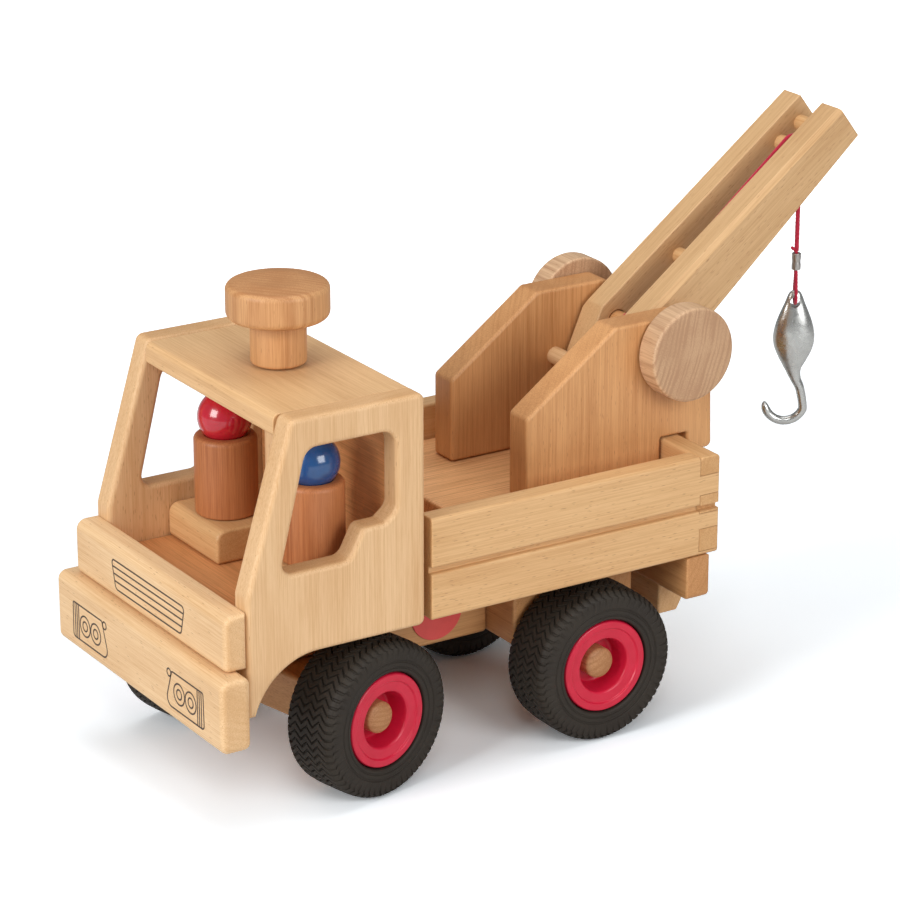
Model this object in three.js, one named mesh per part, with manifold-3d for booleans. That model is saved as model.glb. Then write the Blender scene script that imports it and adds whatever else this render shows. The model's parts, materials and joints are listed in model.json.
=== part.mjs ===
// Wooden toy crane truck: a beech lorry with a steered front axle, two peg figures in an open cab, and a crane
// insert that drops into the bed, with a tilting boom, a hand winch, a cord and a metal hook.
//
// Millimetres. +X is the truck's left side, +Y points to its rear, +Z is up and the wheels stand on z = 0.
// The pieces are laid out along the truck from the front axle and the rear axle, and the whole toy is then moved
// along Y so that the origin lies under the middle of its length.
import * as THREE from 'three';
import { mergeVertices } from 'three/addons/utils/BufferGeometryUtils.js';
import Module from 'manifold-3d';

const wasm = await Module();
wasm.setup();

// ---------------------------------------------------------------- driving dimensions
const GAP = 0.3; // between pieces that touch
const HALF_WIDTH = 72; // cab panels and side boards, outer faces

const PANEL = 12.5; // thickness of a cab side panel
const CAB_INNER = HALF_WIDTH - PANEL - GAP; // half width of what fits between the panels
const CAB_FRONT = -152; // panel front edge
const CAB_REAR = -60.3;
const CAB_TOP = 191.4;
const CAB_SILL = 80.6; // panel lower edge
const FLOOR_TOP = 93.5;
const ROOF_LOW = 180.1;
const ROOF_HIGH = 190.6;
const SEAT_TOP = 110;

const BUMPER_HALF = 80;
const BUMPER_FRONT = -170.1;
const BUMPER_REAR = -155.2;

const BED_FRONT = -57;
const BED_REAR = 102.4;
const BED_LOW = 81.7;
const BED_HIGH = 130.9;
const BOARD = 11; // thickness of side boards and tailboard
const BED_INNER = HALF_WIDTH - BOARD - GAP;
const BED_FLOOR_TOP = 93.7;
const GROOVE = { low: 104, high: 107, depth: 3 };
const FINGERS = [[84, 95], [103, 112], [122, BED_HIGH]]; // heights at which the tailboard comes through

const TYRE_RADIUS = 37.6;
const TYRE_INNER = 43.7;
const TYRE_OUTER = 73.5;
const TYRE_BORE = 23;
const SHOULDER = 4;
const AXLE_HEIGHT = TYRE_RADIUS;
const AXLE_RADIUS = 3;
const FRONT_AXLE = -96;
const REAR_AXLE = 38.2;
const STEER = THREE.MathUtils.degToRad(12.7); // the front axle stands turned to the left
const BLOCK_HALF = 43; // half length of both axle blocks

const COLUMN_RADIUS = 7;
const KNOB = { y: -93.5, neck: 12.9, neckLow: 191.5, cap: 23.7, capLow: 213.3, top: 230.2 };

const FIGURE = { radius: 15, low: SEAT_TOP + GAP, high: 148.5, head: 12.9, headHeight: 156.6 };
const PASSENGER = [-34.8, -102.9];
const DRIVER = [38, -99];

const BASE_TOP = 113.5;
const CHEEK_IN = 25;
const CHEEK_OUT = 40.5;
const WINCH = [99, 175]; // winch axle, on which the boom also tilts
const WINCH_RADIUS = 5;
const DRUM_RADIUS = 7;
const DISC_RADIUS = 22.9;
const DISC_LOW = 41.2;
const DISC_HIGH = 54;
const CROSSBAR = [73.6, 157.4];
const CROSSBAR_RADIUS = 4.3;

const RAIL_IN = 8.5;
const RAIL_OUT = 23.5;
const BOOM_TIP = [217, 257.4];
const DOWEL_RADIUS = 4;
const TIP_DOWEL = [205.8, 258.2];
const GUIDE_DOWEL = [194.4, 249.8];
const MIDDLE_DOWEL = [134.6, 202.1];

const CORD_RADIUS = 1;
const CORD_REACH = DOWEL_RADIUS + CORD_RADIUS + GAP; // cord centre line from the guide dowel's axis
const HANG_Y = GUIDE_DOWEL[0] + CORD_REACH;
const FERRULE = { low: 186.4, high: 194.9, radius: 2.3 };
const HOOK_TURN = THREE.MathUtils.degToRad(57.7); // the hook's plane, turned from the X axis

// ---------------------------------------------------------------- finishes
const finish = (color, roughness, metalness = 0) =>
  new THREE.MeshStandardMaterial({ color, roughness, metalness });
const paleBeech = finish('#dfb581', 0.55);
const warmBeech = finish('#c68d58', 0.55);
const endGrain = finish('#c9a57c', 0.6);
const redPaint = finish('#b00f2c', 0.25);
const bluePaint = finish('#0d3d9c', 0.25);
const redPlastic = finish('#c4122f', 0.35);
const rubber = finish('#1d1a19', 0.75);
const steel = finish('#9a9a98', 0.35, 1);
const redCord = finish('#bd0f2e', 0.8);
const redFilm = finish('#cf2233', 0.45);

// ---------------------------------------------------------------- shapes
const X = new THREE.Vector3(1, 0, 0);
const Y = new THREE.Vector3(0, 1, 0);
const Z = new THREE.Vector3(0, 0, 1);

// Outline planes: a slab through x is drawn in (y, z), one through y in (x, z).
const PLANE = {
  x: new THREE.Matrix4().makeBasis(Y, Z, X),
  y: new THREE.Matrix4().makeBasis(X, Z, Y.clone().negate()),
};

// A closed outline through [a, b, radius] corners, each rounded by its radius, traced anticlockwise.
function traced(PathType, given) {
  const clockwise = THREE.ShapeUtils.isClockWise(given.map(([a, b]) => new THREE.Vector2(a, b)));
  const corners = clockwise ? given.toReversed() : given;
  const at = (i) => new THREE.Vector2(...corners[(i + corners.length) % corners.length].slice(0, 2));
  const path = new PathType();
  corners.forEach(([a, b, radius = 0], i) => {
    const here = at(i);
    const before = at(i - 1).sub(here).normalize();
    const after = at(i + 1).sub(here).normalize();
    const reach = radius / Math.tan(before.angleTo(after) / 2);
    const enter = here.clone().addScaledVector(before, reach);
    const leave = here.clone().addScaledVector(after, reach);
    if (i === 0) path.moveTo(enter.x, enter.y);
    else path.lineTo(enter.x, enter.y);
    if (radius > 0) path.quadraticCurveTo(a, b, leave.x, leave.y);
  });
  path.closePath();
  return path;
}

const roundOutline = (a, b, radius, sides = 20) =>
  Array.from({ length: sides }, (_, i) => {
    const turn = (i * 2 * Math.PI) / sides;
    return [a + radius * Math.cos(turn), b + radius * Math.sin(turn)];
  });

// A flat board: an outline carried from low to high along one axis, with holes right through it.
function slab(axis, corners, low, high, holes = []) {
  const shape = traced(THREE.Shape, corners);
  shape.holes = holes.map((hole) => traced(THREE.Path, hole));
  const geometry = new THREE.ExtrudeGeometry(shape, {
    depth: high - low,
    bevelEnabled: false,
    curveSegments: 4,
  });
  geometry.translate(0, 0, axis === 'y' ? -high : low);
  return geometry.applyMatrix4(PLANE[axis]);
}

const box = ([x0, y0, z0], [x1, y1, z1]) =>
  new THREE.BoxGeometry(x1 - x0, y1 - y0, z1 - z0)
    .translate((x0 + x1) / 2, (y0 + y1) / 2, (z0 + z1) / 2);

// A turned piece: [radius, along] points revolved about the X or Z axis.
function turned(axis, profile, segments) {
  const geometry = new THREE.LatheGeometry(profile.map(([r, h]) => new THREE.Vector2(r, h)), segments);
  return axis === 'x' ? geometry.rotateZ(-Math.PI / 2) : geometry.rotateX(Math.PI / 2);
}

// A dowel along X, between two x values, centred on a (y, z) point.
const dowel = ([y, z], radius, low, high, sides = 20) =>
  new THREE.CylinderGeometry(radius, radius, high - low, sides)
    .rotateZ(Math.PI / 2)
    .translate((low + high) / 2, y, z);

const post = ([x, y], radius, low, high, sides = 20) =>
  new THREE.CylinderGeometry(radius, radius, high - low, sides)
    .rotateX(Math.PI / 2)
    .translate(x, y, (low + high) / 2);

// A round rod bent along the points of a path.
function rod(points, radius, steps, sides = 8) {
  const curve = new THREE.CatmullRomCurve3(points, false, 'centripetal');
  const section = new THREE.Shape(roundOutline(0, 0, radius, sides).map(([a, b]) => new THREE.Vector2(a, b)));
  return new THREE.ExtrudeGeometry(section, { steps, extrudePath: curve, bevelEnabled: false });
}

// ---------------------------------------------------------------- solids: joining and cutting
function volume(geometry) {
  const place = geometry.attributes.position;
  const corner = [0, 1, 2].map(() => new THREE.Vector3());
  let sum = 0;
  for (let i = 0; i < geometry.index.count; i += 3) {
    corner.forEach((point, k) => point.fromBufferAttribute(place, geometry.index.getX(i + k)));
    sum += corner[0].dot(corner[1].cross(corner[2])) / 6;
  }
  return sum;
}

// The geometry as one welded mesh whose faces point out, without the flat triangles at a turned piece's poles.
function welded(geometry) {
  const bare = geometry.clone();
  bare.deleteAttribute('normal');
  bare.deleteAttribute('uv');
  const merged = mergeVertices(bare, 1e-4);
  const triangles = [];
  for (let i = 0; i < merged.index.count; i += 3) {
    const [a, b, c] = merged.index.array.slice(i, i + 3);
    if (a !== b && b !== c && c !== a) triangles.push([a, b, c]);
  }
  merged.setIndex(triangles.flat());
  if (volume(merged) < 0) merged.setIndex(triangles.map(([a, b, c]) => [b, a, c]).flat());
  return merged;
}

function solid(geometry) {
  const mesh = welded(geometry);
  return new wasm.Manifold(new wasm.Mesh({
    numProp: 3,
    vertProperties: new Float32Array(mesh.attributes.position.array),
    triVerts: new Uint32Array(mesh.index.array),
  }));
}

function fromSolid(manifold) {
  const { vertProperties, triVerts } = manifold.getMesh();
  const geometry = new THREE.BufferGeometry();
  geometry.setAttribute('position', new THREE.BufferAttribute(new Float32Array(vertProperties), 3));
  geometry.setIndex(new THREE.BufferAttribute(new Uint32Array(triVerts), 1));
  return geometry;
}

const cut = (geometry, ...tools) =>
  fromSolid(tools.reduce((rest, tool) => rest.subtract(solid(tool)), solid(geometry)));

const joined = (geometry, ...others) =>
  fromSolid(others.reduce((sum, other) => sum.add(solid(other)), solid(geometry)));

// ---------------------------------------------------------------- assembly
const toy = new THREE.Group();
toy.position.y = -(BUMPER_FRONT + BOOM_TIP[0]) / 2;

function place(name, geometry, material, parent = toy) {
  const mesh = new THREE.Mesh(welded(geometry), material);
  mesh.name = name;
  parent.add(mesh);
  return mesh;
}

const SIDES = [['left', 1], ['right', -1]];
// A piece drawn on the left side, or its twin on the right.
const span = (side, low, high) => (side > 0 ? [low, high] : [-high, -low]);

function buildCab() {
  const panelOutline = [
    [-128.7, CAB_TOP, 3], [CAB_REAR, CAB_TOP, 3], [CAB_REAR, CAB_SILL, 3],
    [-114, CAB_SILL], [-122.5, 79.4], [-131, 75.4], [-138.8, 68.9], [-144.8, 61.7],
    [-149, 55.8], [-151.2, 55.8], [CAB_FRONT, 57], [CAB_FRONT, 113, 4],
  ];
  const windowOutline = [
    [-134.7, 120, 5], [-120.6, 176.6, 7], [-75.2, 176.6, 7], [-75.2, 139, 6],
    [-81.6, 134, 3], [-92.6, 134, 4], [-99.8, 120, 6],
  ];
  for (const [name, side] of SIDES) {
    const panel = slab('x', panelOutline, ...span(side, HALF_WIDTH - PANEL, HALF_WIDTH), [windowOutline]);
    place(`cab_panel_${name}`, panel, paleBeech);
  }

  const column = [0, KNOB.y];
  place('roof_board', cut(
    slab('x', [[-130.3, ROOF_LOW, 2], [-130.3, ROOF_HIGH, 3], [CAB_REAR, ROOF_HIGH, 2], [CAB_REAR, ROOF_LOW]],
      -CAB_INNER, CAB_INNER),
    post(column, COLUMN_RADIUS + GAP, ROOF_LOW - 5, ROOF_HIGH + 5),
  ), paleBeech);
  place('cab_floor', cut(
    box([-CAB_INNER, CAB_FRONT + GAP, CAB_SILL + GAP], [CAB_INNER, CAB_REAR, FLOOR_TOP]),
    post(column, COLUMN_RADIUS + GAP, CAB_SILL - 5, FLOOR_TOP + 5),
  ), warmBeech);
  const wallThickness = 10;
  place('cab_rear_wall',
    box([-CAB_INNER, CAB_REAR - wallThickness, FLOOR_TOP + GAP], [CAB_INNER, CAB_REAR, ROOF_LOW - GAP]),
    warmBeech);

  const seatFront = -121;
  const seatRear = CAB_REAR - wallThickness - GAP;
  const seatOutline = [
    [seatFront, FLOOR_TOP + GAP], [seatRear, FLOOR_TOP + GAP], [seatRear, SEAT_TOP], [seatFront, SEAT_TOP, 5],
  ];
  for (const [name, side] of SIDES) {
    place(`seat_${name}`, slab('x', seatOutline, ...span(side, 12, CAB_INNER)), warmBeech);
  }

  const grilleOutline = [
    [-163.5, 80], [-163.5, 106.3, 5], [CAB_FRONT - GAP, 106.3, 1], [CAB_FRONT - GAP, 80],
  ];
  place('grille_board', slab('x', grilleOutline, -HALF_WIDTH, HALF_WIDTH), paleBeech);
  const bumperOutline = [
    [BUMPER_FRONT, 45.2, 4], [BUMPER_FRONT, 79.7, 4], [BUMPER_REAR, 79.7, 2], [BUMPER_REAR, 45.2, 2],
  ];
  place('bumper_board', slab('x', bumperOutline, -BUMPER_HALF, BUMPER_HALF), paleBeech);
  place('bumper_carrier',
    box([-CAB_INNER, BUMPER_REAR + GAP, 60], [CAB_INNER, -148.5, 79.7]), warmBeech);
}

function buildFigure(name, [x, y], paint) {
  const { radius, low, high, head, headHeight } = FIGURE;
  // The head sits in a dished top: the dish follows the head, one gap away from it.
  const dish = head + GAP;
  const rim = Math.sqrt(dish ** 2 - (headHeight - high) ** 2);
  const dishArc = [1, 0.75, 0.5, 0.25].map((part) => {
    const r = rim * part;
    return [r, headHeight - Math.sqrt(dish ** 2 - r ** 2)];
  });
  const body = turned('z', [
    [0, low], [radius - 1, low], [radius, low + 1], [radius, high - 3], [radius - 1, high - 0.9],
    ...dishArc, [0, headHeight - dish],
  ].map(([r, h]) => [r, -h]), 22);
  place(`${name}_body`, body.scale(1, 1, -1).translate(x, y, 0), warmBeech);
  const ball = new THREE.SphereGeometry(head, 18, 11).rotateX(Math.PI / 2);
  place(`${name}_head`, ball.translate(x, y, headHeight), paint);
}

function buildChassis() {
  const beamLow = 44;
  const beamHigh = 80.3;
  const bolsterLow = 53.2; // over the steered block
  place('chassis_beam', cut(
    slab('x', [
      [6, beamLow], [6, beamHigh], [-120, beamHigh], [-120, bolsterLow], [-62, bolsterLow], [-62, beamLow],
    ], -20, 20),
    post([0, KNOB.y], COLUMN_RADIUS + GAP, bolsterLow - 5, beamHigh + 5),
  ), warmBeech);
  place('round_badge', dowel([-22.5, 60.5], 14, 20 + GAP, 20.9, 28), redFilm);
  place('rear_axle_block', box([-BLOCK_HALF, 6.3, beamLow], [BLOCK_HALF, 73.8, BED_LOW - GAP]), warmBeech);
  const bar = { front: 26, rear: 50.4, low: 30 };
  place('rear_axle_bar', slab('x', [
    [bar.front, bar.low], [bar.rear, bar.low], [bar.rear, beamLow - GAP], [bar.front, beamLow - GAP],
  ], -BLOCK_HALF, BLOCK_HALF, [roundOutline(REAR_AXLE, AXLE_HEIGHT, AXLE_RADIUS + 0.4)]), warmBeech);
  place('rear_board', slab('y', [
    [-HALF_WIDTH, 60, 3], [HALF_WIDTH, 60, 3], [HALF_WIDTH, 81.4], [-HALF_WIDTH, 81.4],
  ], 85, 98), warmBeech);
  place('tail_block', slab('x', [[88, 43], [99, 43], [102, 48.5], [102, 59.7], [88, 59.7]],
    -45, 45), paleBeech);
}

function buildBed() {
  const groove = (side) => box(
    [side * HALF_WIDTH - GROOVE.depth, BED_FRONT - 5, GROOVE.low],
    [side * HALF_WIDTH + GROOVE.depth, BED_REAR + 5, GROOVE.high]);
  // The rear end of a side board is notched where the tailboard's fingers come through.
  const notchFront = BED_REAR - BOARD - GAP;
  const notched = FINGERS.flatMap(([low, high]) => [
    [BED_REAR, low - GAP], [notchFront, low - GAP], [notchFront, high + GAP], [BED_REAR, high + GAP],
  ]).slice(0, -1);
  notched.at(-1)[1] = BED_HIGH;
  const sideOutline = [
    [BED_FRONT, BED_HIGH, 2], [BED_FRONT, BED_LOW, 2], [BED_REAR, BED_LOW], ...notched,
  ];
  for (const [name, side] of SIDES) {
    const board = slab('x', sideOutline, ...span(side, HALF_WIDTH - BOARD, HALF_WIDTH));
    place(`side_board_${name}`, cut(board, groove(side)), paleBeech);
  }

  const rightEdge = [[BED_INNER, BED_LOW], ...FINGERS.flatMap(([low, high]) => [
    [BED_INNER, low], [HALF_WIDTH, low], [HALF_WIDTH, high], [BED_INNER, high],
  ])].slice(0, -1);
  const leftEdge = rightEdge.map(([x, z]) => [-x, z]).reverse();
  place('tailboard', cut(
    slab('y', [...rightEdge, ...leftEdge], BED_REAR - BOARD, BED_REAR), groove(1), groove(-1),
  ), paleBeech);
  place('bed_floor',
    box([-BED_INNER, BED_FRONT, BED_LOW], [BED_INNER, BED_REAR - BOARD - GAP, BED_FLOOR_TOP]), warmBeech);
}

function buildWheels(end, parent) {
  const tyreProfile = [
    [TYRE_BORE, TYRE_INNER], [TYRE_RADIUS - SHOULDER, TYRE_INNER], [TYRE_RADIUS - 1.2, TYRE_INNER + 1.2],
    [TYRE_RADIUS, TYRE_INNER + SHOULDER], [TYRE_RADIUS, TYRE_OUTER - SHOULDER],
    [TYRE_RADIUS - 1.2, TYRE_OUTER - 1.2], [TYRE_RADIUS - SHOULDER, TYRE_OUTER], [TYRE_BORE, TYRE_OUTER],
    [TYRE_BORE, TYRE_INNER],
  ];
  const rimRadius = TYRE_BORE - GAP;
  const rimFace = TYRE_OUTER - 0.9;
  const rimProfile = [
    [AXLE_RADIUS + GAP, TYRE_INNER + 1], [rimRadius, TYRE_INNER + 1], [rimRadius, rimFace],
    [rimRadius - 2.4, rimFace], [rimRadius - 3.6, rimFace - 3], [13.6, rimFace - 4.2], [12.8, 60.5],
    [AXLE_RADIUS + GAP, 60.5], [AXLE_RADIUS + GAP, TYRE_INNER + 1],
  ];
  const capProfile = [[0, 60.8], [7.5, 60.8], [7.5, 66.4], [5.4, 67.6], [0, 68.2]];
  const facing = (geometry, side) => (side > 0 ? geometry : geometry.rotateZ(Math.PI));
  place(`${end}_axle`, dowel([0, 0], AXLE_RADIUS, -60.2, 60.2, 16), steel, parent);
  for (const [name, side] of SIDES) {
    place(`${end}_tyre_${name}`, facing(turned('x', tyreProfile, 32), side), rubber, parent);
    place(`${end}_rim_${name}`, facing(turned('x', rimProfile, 24), side), redPlastic, parent);
    place(`${end}_hub_cap_${name}`, facing(turned('x', capProfile, 16), side), endGrain, parent);
  }
}

function buildSteering() {
  const { y, neck, neckLow, cap, capLow, top } = KNOB;
  place('steering_knob', turned('z', [
    [0, neckLow], [neck, neckLow], [neck, capLow - 2], [neck + 2, capLow], [cap - 3.5, capLow],
    [cap, capLow + 3.5], [cap, top - 3.5], [cap - 3.5, top], [0, top],
  ], 28).translate(0, y, 0), warmBeech);
  place('steering_column', post([0, y], COLUMN_RADIUS, 52.9, neckLow - GAP), paleBeech);

  const turn = new THREE.Group();
  turn.position.set(0, FRONT_AXLE, 0);
  turn.rotation.z = STEER;
  toy.add(turn);
  const hole = roundOutline(0, AXLE_HEIGHT, AXLE_RADIUS + 0.4);
  place('front_axle_block', slab('x', [[-19, 31], [19, 31], [19, 52.6], [-19, 52.6]],
    -BLOCK_HALF, BLOCK_HALF, [hole]), warmBeech, turn);
  const axle = new THREE.Group();
  axle.position.z = AXLE_HEIGHT;
  turn.add(axle);
  buildWheels('front', axle);
}

function buildRearWheels() {
  const axle = new THREE.Group();
  axle.position.set(0, REAR_AXLE, AXLE_HEIGHT);
  toy.add(axle);
  buildWheels('rear', axle);
}

function buildCraneInsert() {
  place('base_plate',
    box([-BED_INNER + 0.2, -21, BED_FLOOR_TOP + GAP], [BED_INNER - 0.2, 90, BASE_TOP]), warmBeech);
  const low = BASE_TOP + GAP;
  const notchTop = BED_HIGH + 0.5;
  const outline = [
    [14.5, low, 2], [14.5, 155, 3], [63.5, 191, 3], [103, 191, 6], [119, 180, 12], [120.7, 121.5, 3],
    [106.1, 121.5, 2], [106.1, notchTop], [BED_REAR - BOARD - 0.8, notchTop], [BED_REAR - BOARD - 0.8, low],
  ];
  for (const [name, side] of SIDES) {
    const cheek = slab('x', outline, ...span(side, CHEEK_IN, CHEEK_OUT),
      [roundOutline(...WINCH, WINCH_RADIUS + 0.4)]);
    const socket = dowel(CROSSBAR, CROSSBAR_RADIUS + GAP, -CHEEK_IN - 8, CHEEK_IN + 8);
    place(`cheek_${name}`, cut(cheek, socket), side > 0 ? paleBeech : warmBeech);
  }
  place('crossbar', dowel(CROSSBAR, CROSSBAR_RADIUS, -CHEEK_IN - 7.7, CHEEK_IN + 7.7), paleBeech);
}

function buildBoom() {
  const outline = [
    [205.5, 272.4, 1], [89.9, 183.6, 2], [78.6, 157.4], [77.2, 151.5, 3], [85.5, 140.2, 5], BOOM_TIP,
  ];
  const slope = Math.atan2(outline[0][1] - outline[1][1], outline[0][0] - outline[1][0]);
  const chamfer = 4.5;
  for (const [name, side] of SIDES) {
    const rail = slab('x', outline, ...span(side, RAIL_IN, RAIL_OUT),
      [roundOutline(...WINCH, WINCH_RADIUS + 0.4)]);
    // A square bar turned by 45 degrees planes off the upper outer edge.
    const plane = new THREE.BoxGeometry(chamfer * Math.SQRT2, 400, chamfer * Math.SQRT2)
      .rotateY(Math.PI / 4)
      .rotateX(slope)
      .translate(side * RAIL_OUT, outline[0][0], outline[0][1]);
    const sockets = [TIP_DOWEL, GUIDE_DOWEL, MIDDLE_DOWEL].map((at) =>
      dowel(at, DOWEL_RADIUS + GAP, -RAIL_IN - 8, RAIL_IN + 8));
    place(`boom_rail_${name}`, cut(rail, plane, ...sockets), paleBeech);
  }
  const reach = RAIL_IN + 7.7;
  place('boom_tip_dowel', dowel(TIP_DOWEL, DOWEL_RADIUS, -reach, reach), warmBeech);
  place('boom_guide_dowel', dowel(GUIDE_DOWEL, DOWEL_RADIUS, -reach, reach), warmBeech);
  place('boom_middle_dowel', dowel(MIDDLE_DOWEL, DOWEL_RADIUS, -reach, reach), warmBeech);
}

function buildWinch() {
  place('winch_axle', dowel(WINCH, WINCH_RADIUS, -DISC_LOW - 7.5, DISC_LOW + 7.5), warmBeech);
  for (const [name, side] of SIDES) {
    const disc = turned('x', [
      [0, DISC_LOW + 8], [WINCH_RADIUS + GAP, DISC_LOW + 8], [WINCH_RADIUS + GAP, DISC_LOW],
      [DISC_RADIUS - 1, DISC_LOW], [DISC_RADIUS, DISC_LOW + 1], [DISC_RADIUS, DISC_HIGH - 1.4],
      [DISC_RADIUS - 1.4, DISC_HIGH], [0, DISC_HIGH],
    ], 30);
    if (side < 0) disc.rotateZ(Math.PI);
    place(`winch_disc_${name}`, disc.translate(0, ...WINCH), endGrain);
  }
  const winding = turned('x', [
    [WINCH_RADIUS + GAP, -6], [DRUM_RADIUS, -6], [DRUM_RADIUS, 6], [WINCH_RADIUS + GAP, 6],
    [WINCH_RADIUS + GAP, -6],
  ], 20);
  place('cord_winding', winding.translate(0, ...WINCH), redCord);
}

function buildCord() {
  const inPlane = (y, z) => new THREE.Vector3(0, y, z);
  // From the drum the cord runs straight up the boom and bends over the guide dowel.
  const wrap = [125, 100, 75, 50, 25, 2].map((degrees) => {
    const turn = THREE.MathUtils.degToRad(degrees);
    return inPlane(GUIDE_DOWEL[0] + CORD_REACH * Math.cos(turn), GUIDE_DOWEL[1] + CORD_REACH * Math.sin(turn));
  });
  const leave = inPlane(WINCH[0] - 5.1, WINCH[1] + 6.7);
  const straight = [0, 0.2, 0.4, 0.6, 0.8].map((part) => leave.clone().lerp(wrap[0], part));
  place('boom_cord', rod([...straight, ...wrap], CORD_RADIUS, 40), redCord);

  const top = GUIDE_DOWEL[1] - GAP;
  const hang = [0, 0.25, 0.5, 0.75, 1].map((part) =>
    inPlane(HANG_Y, THREE.MathUtils.lerp(top, FERRULE.high + GAP, part)));
  place('hanging_cord', rod(hang, CORD_RADIUS, 12), redCord);
}

function buildHook() {
  const turn = new THREE.Group();
  turn.position.set(0, HANG_Y, 0);
  turn.rotation.z = HOOK_TURN;
  toy.add(turn);
  place('ferrule', post([0, 0], FERRULE.radius, FERRULE.low, FERRULE.high, 16), steel, turn);

  // The cord's loop: down one side of the eye's bridge and up the other.
  const eye = { height: 170, radius: 2.6 };
  const low = eye.height - 0.4;
  place('cord_loop', rod([
    new THREE.Vector3(-0.2, 1.15, FERRULE.low - GAP), new THREE.Vector3(0, 2.4, 182),
    new THREE.Vector3(0, 4.5, 176), new THREE.Vector3(0, 4.3, low + 1.5), new THREE.Vector3(0, 0, low - 0.6),
    new THREE.Vector3(0, -4.3, low + 1.5), new THREE.Vector3(0, -4.5, 176), new THREE.Vector3(0, -2.4, 182),
    new THREE.Vector3(-0.2, -1.15, FERRULE.low - GAP),
  ], 0.9, 28), redCord, turn);

  // Flattened drop with an eye across it, then the bent hook; x is the width, y the thickness.
  const drop = turned('z', [
    [0, 131], [2.2, 131.4], [3.6, 134.5], [7, 140], [9.6, 146], [10.3, 151.5], [9.4, 158], [6.8, 165],
    [4.6, 170], [3.9, 173.4], [2.6, 175.2], [0, 175.6],
  ], 18).scale(1, 0.44, 1);
  const bore = new THREE.CylinderGeometry(eye.radius, eye.radius, 20, 16).translate(0, 0, eye.height);
  const bend = { x: -3.6, z: 117.3, radius: 9.9 };
  const arc = [0, -30, -60, -90, -120, -150, -180].map((degrees) => {
    const angle = THREE.MathUtils.degToRad(degrees);
    return new THREE.Vector3(bend.x + bend.radius * Math.cos(angle), 0, bend.z + bend.radius * Math.sin(angle));
  });
  const shank = rod([
    new THREE.Vector3(0.6, 0, 135.5), new THREE.Vector3(1.8, 0, 130.5), new THREE.Vector3(4.6, 0, 123.6), ...arc,
  ], 2.2, 24, 10);
  place('hook', cut(joined(drop, shank), bore), steel, turn);
}

buildCab();
buildFigure('driver', DRIVER, bluePaint);
buildFigure('passenger', PASSENGER, redPaint);
buildChassis();
buildBed();
buildSteering();
buildRearWheels();
buildCraneInsert();
buildBoom();
buildWinch();
buildCord();
buildHook();

export default toy;
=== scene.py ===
"""Looks of a wooden toy crane truck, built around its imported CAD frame.

Shapes are worked out in millimetres as numpy arrays and put into meshes in metres. Every piece stands at the
frame's own place: anchors come from the boxes of the CAD nodes and from the joints of the record.
"""

import json
import logging
import math
import zlib
from collections.abc import Sequence
from dataclasses import dataclass, replace
from enum import Enum

import bmesh
import bpy
import numpy as np
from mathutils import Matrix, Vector
from mathutils.geometry import tessellate_polygon


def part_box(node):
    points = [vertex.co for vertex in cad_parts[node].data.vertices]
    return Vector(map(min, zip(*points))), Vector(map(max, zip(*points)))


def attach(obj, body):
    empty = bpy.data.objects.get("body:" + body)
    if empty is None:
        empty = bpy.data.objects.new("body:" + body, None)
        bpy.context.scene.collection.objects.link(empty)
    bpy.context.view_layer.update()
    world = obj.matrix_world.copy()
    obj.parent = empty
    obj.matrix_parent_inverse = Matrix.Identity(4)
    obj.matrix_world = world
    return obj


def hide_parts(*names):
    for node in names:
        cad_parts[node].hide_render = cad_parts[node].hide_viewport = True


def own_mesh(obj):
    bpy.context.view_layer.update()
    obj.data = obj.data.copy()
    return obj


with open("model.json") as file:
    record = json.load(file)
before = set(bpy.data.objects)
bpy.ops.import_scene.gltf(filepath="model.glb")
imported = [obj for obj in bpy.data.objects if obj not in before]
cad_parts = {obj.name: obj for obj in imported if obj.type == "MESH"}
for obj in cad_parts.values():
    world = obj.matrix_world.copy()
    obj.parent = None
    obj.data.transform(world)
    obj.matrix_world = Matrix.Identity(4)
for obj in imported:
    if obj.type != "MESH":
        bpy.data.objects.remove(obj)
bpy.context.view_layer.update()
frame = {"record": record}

MM = 0.001
SUPPORT = 0.15  # mm, narrow strip beside a rounding that keeps the flat next to it flat
MERGE = 0.004  # mm, points closer than this are one after a cut
WELL_RADIUS = 7.3  # mm, bore that the steering column turns in
AXLE_BORE = 3.4  # mm, radius of the bore of a wheel axle
BEHAVIOUR = frame["record"]["behaviour"]
BODY_OF = {node: body for body, nodes in BEHAVIOUR["bodies"].items() for node in nodes}
JOINTS = {joint["name"]: joint for joint in BEHAVIOUR["joints"]}
SIDES = (("left", 1), ("right", -1))

Corner = tuple[float, ...]
Points = np.ndarray

log = logging.getLogger("crane_truck")


class Axis(Enum):
    """The axis that runs across a flat outline, with the order of (first, second, across) in x, y, z."""

    X = (2, 0, 1)
    Y = (0, 2, 1)
    Z = (0, 1, 2)


# ------------------------------------------------------------------ places


def low_high(node: str) -> tuple[Points, Points]:
    """Lowest and highest corner of a CAD node, in millimetres."""
    low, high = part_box(node)
    return np.array(low) / MM, np.array(high) / MM


def pivot(joint: str) -> Points:
    """A joint's point, in millimetres."""
    return np.array(JOINTS[joint]["pos_m"]) / MM


def shifted(corners: Sequence[Corner], start: Sequence[float]) -> list[Corner]:
    """Corners (a, b, radius) moved by a start point (a, b)."""
    return [(a + start[0], b + start[1], *rest) for a, b, *rest in corners]


# ------------------------------------------------------------------ surfaces


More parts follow.
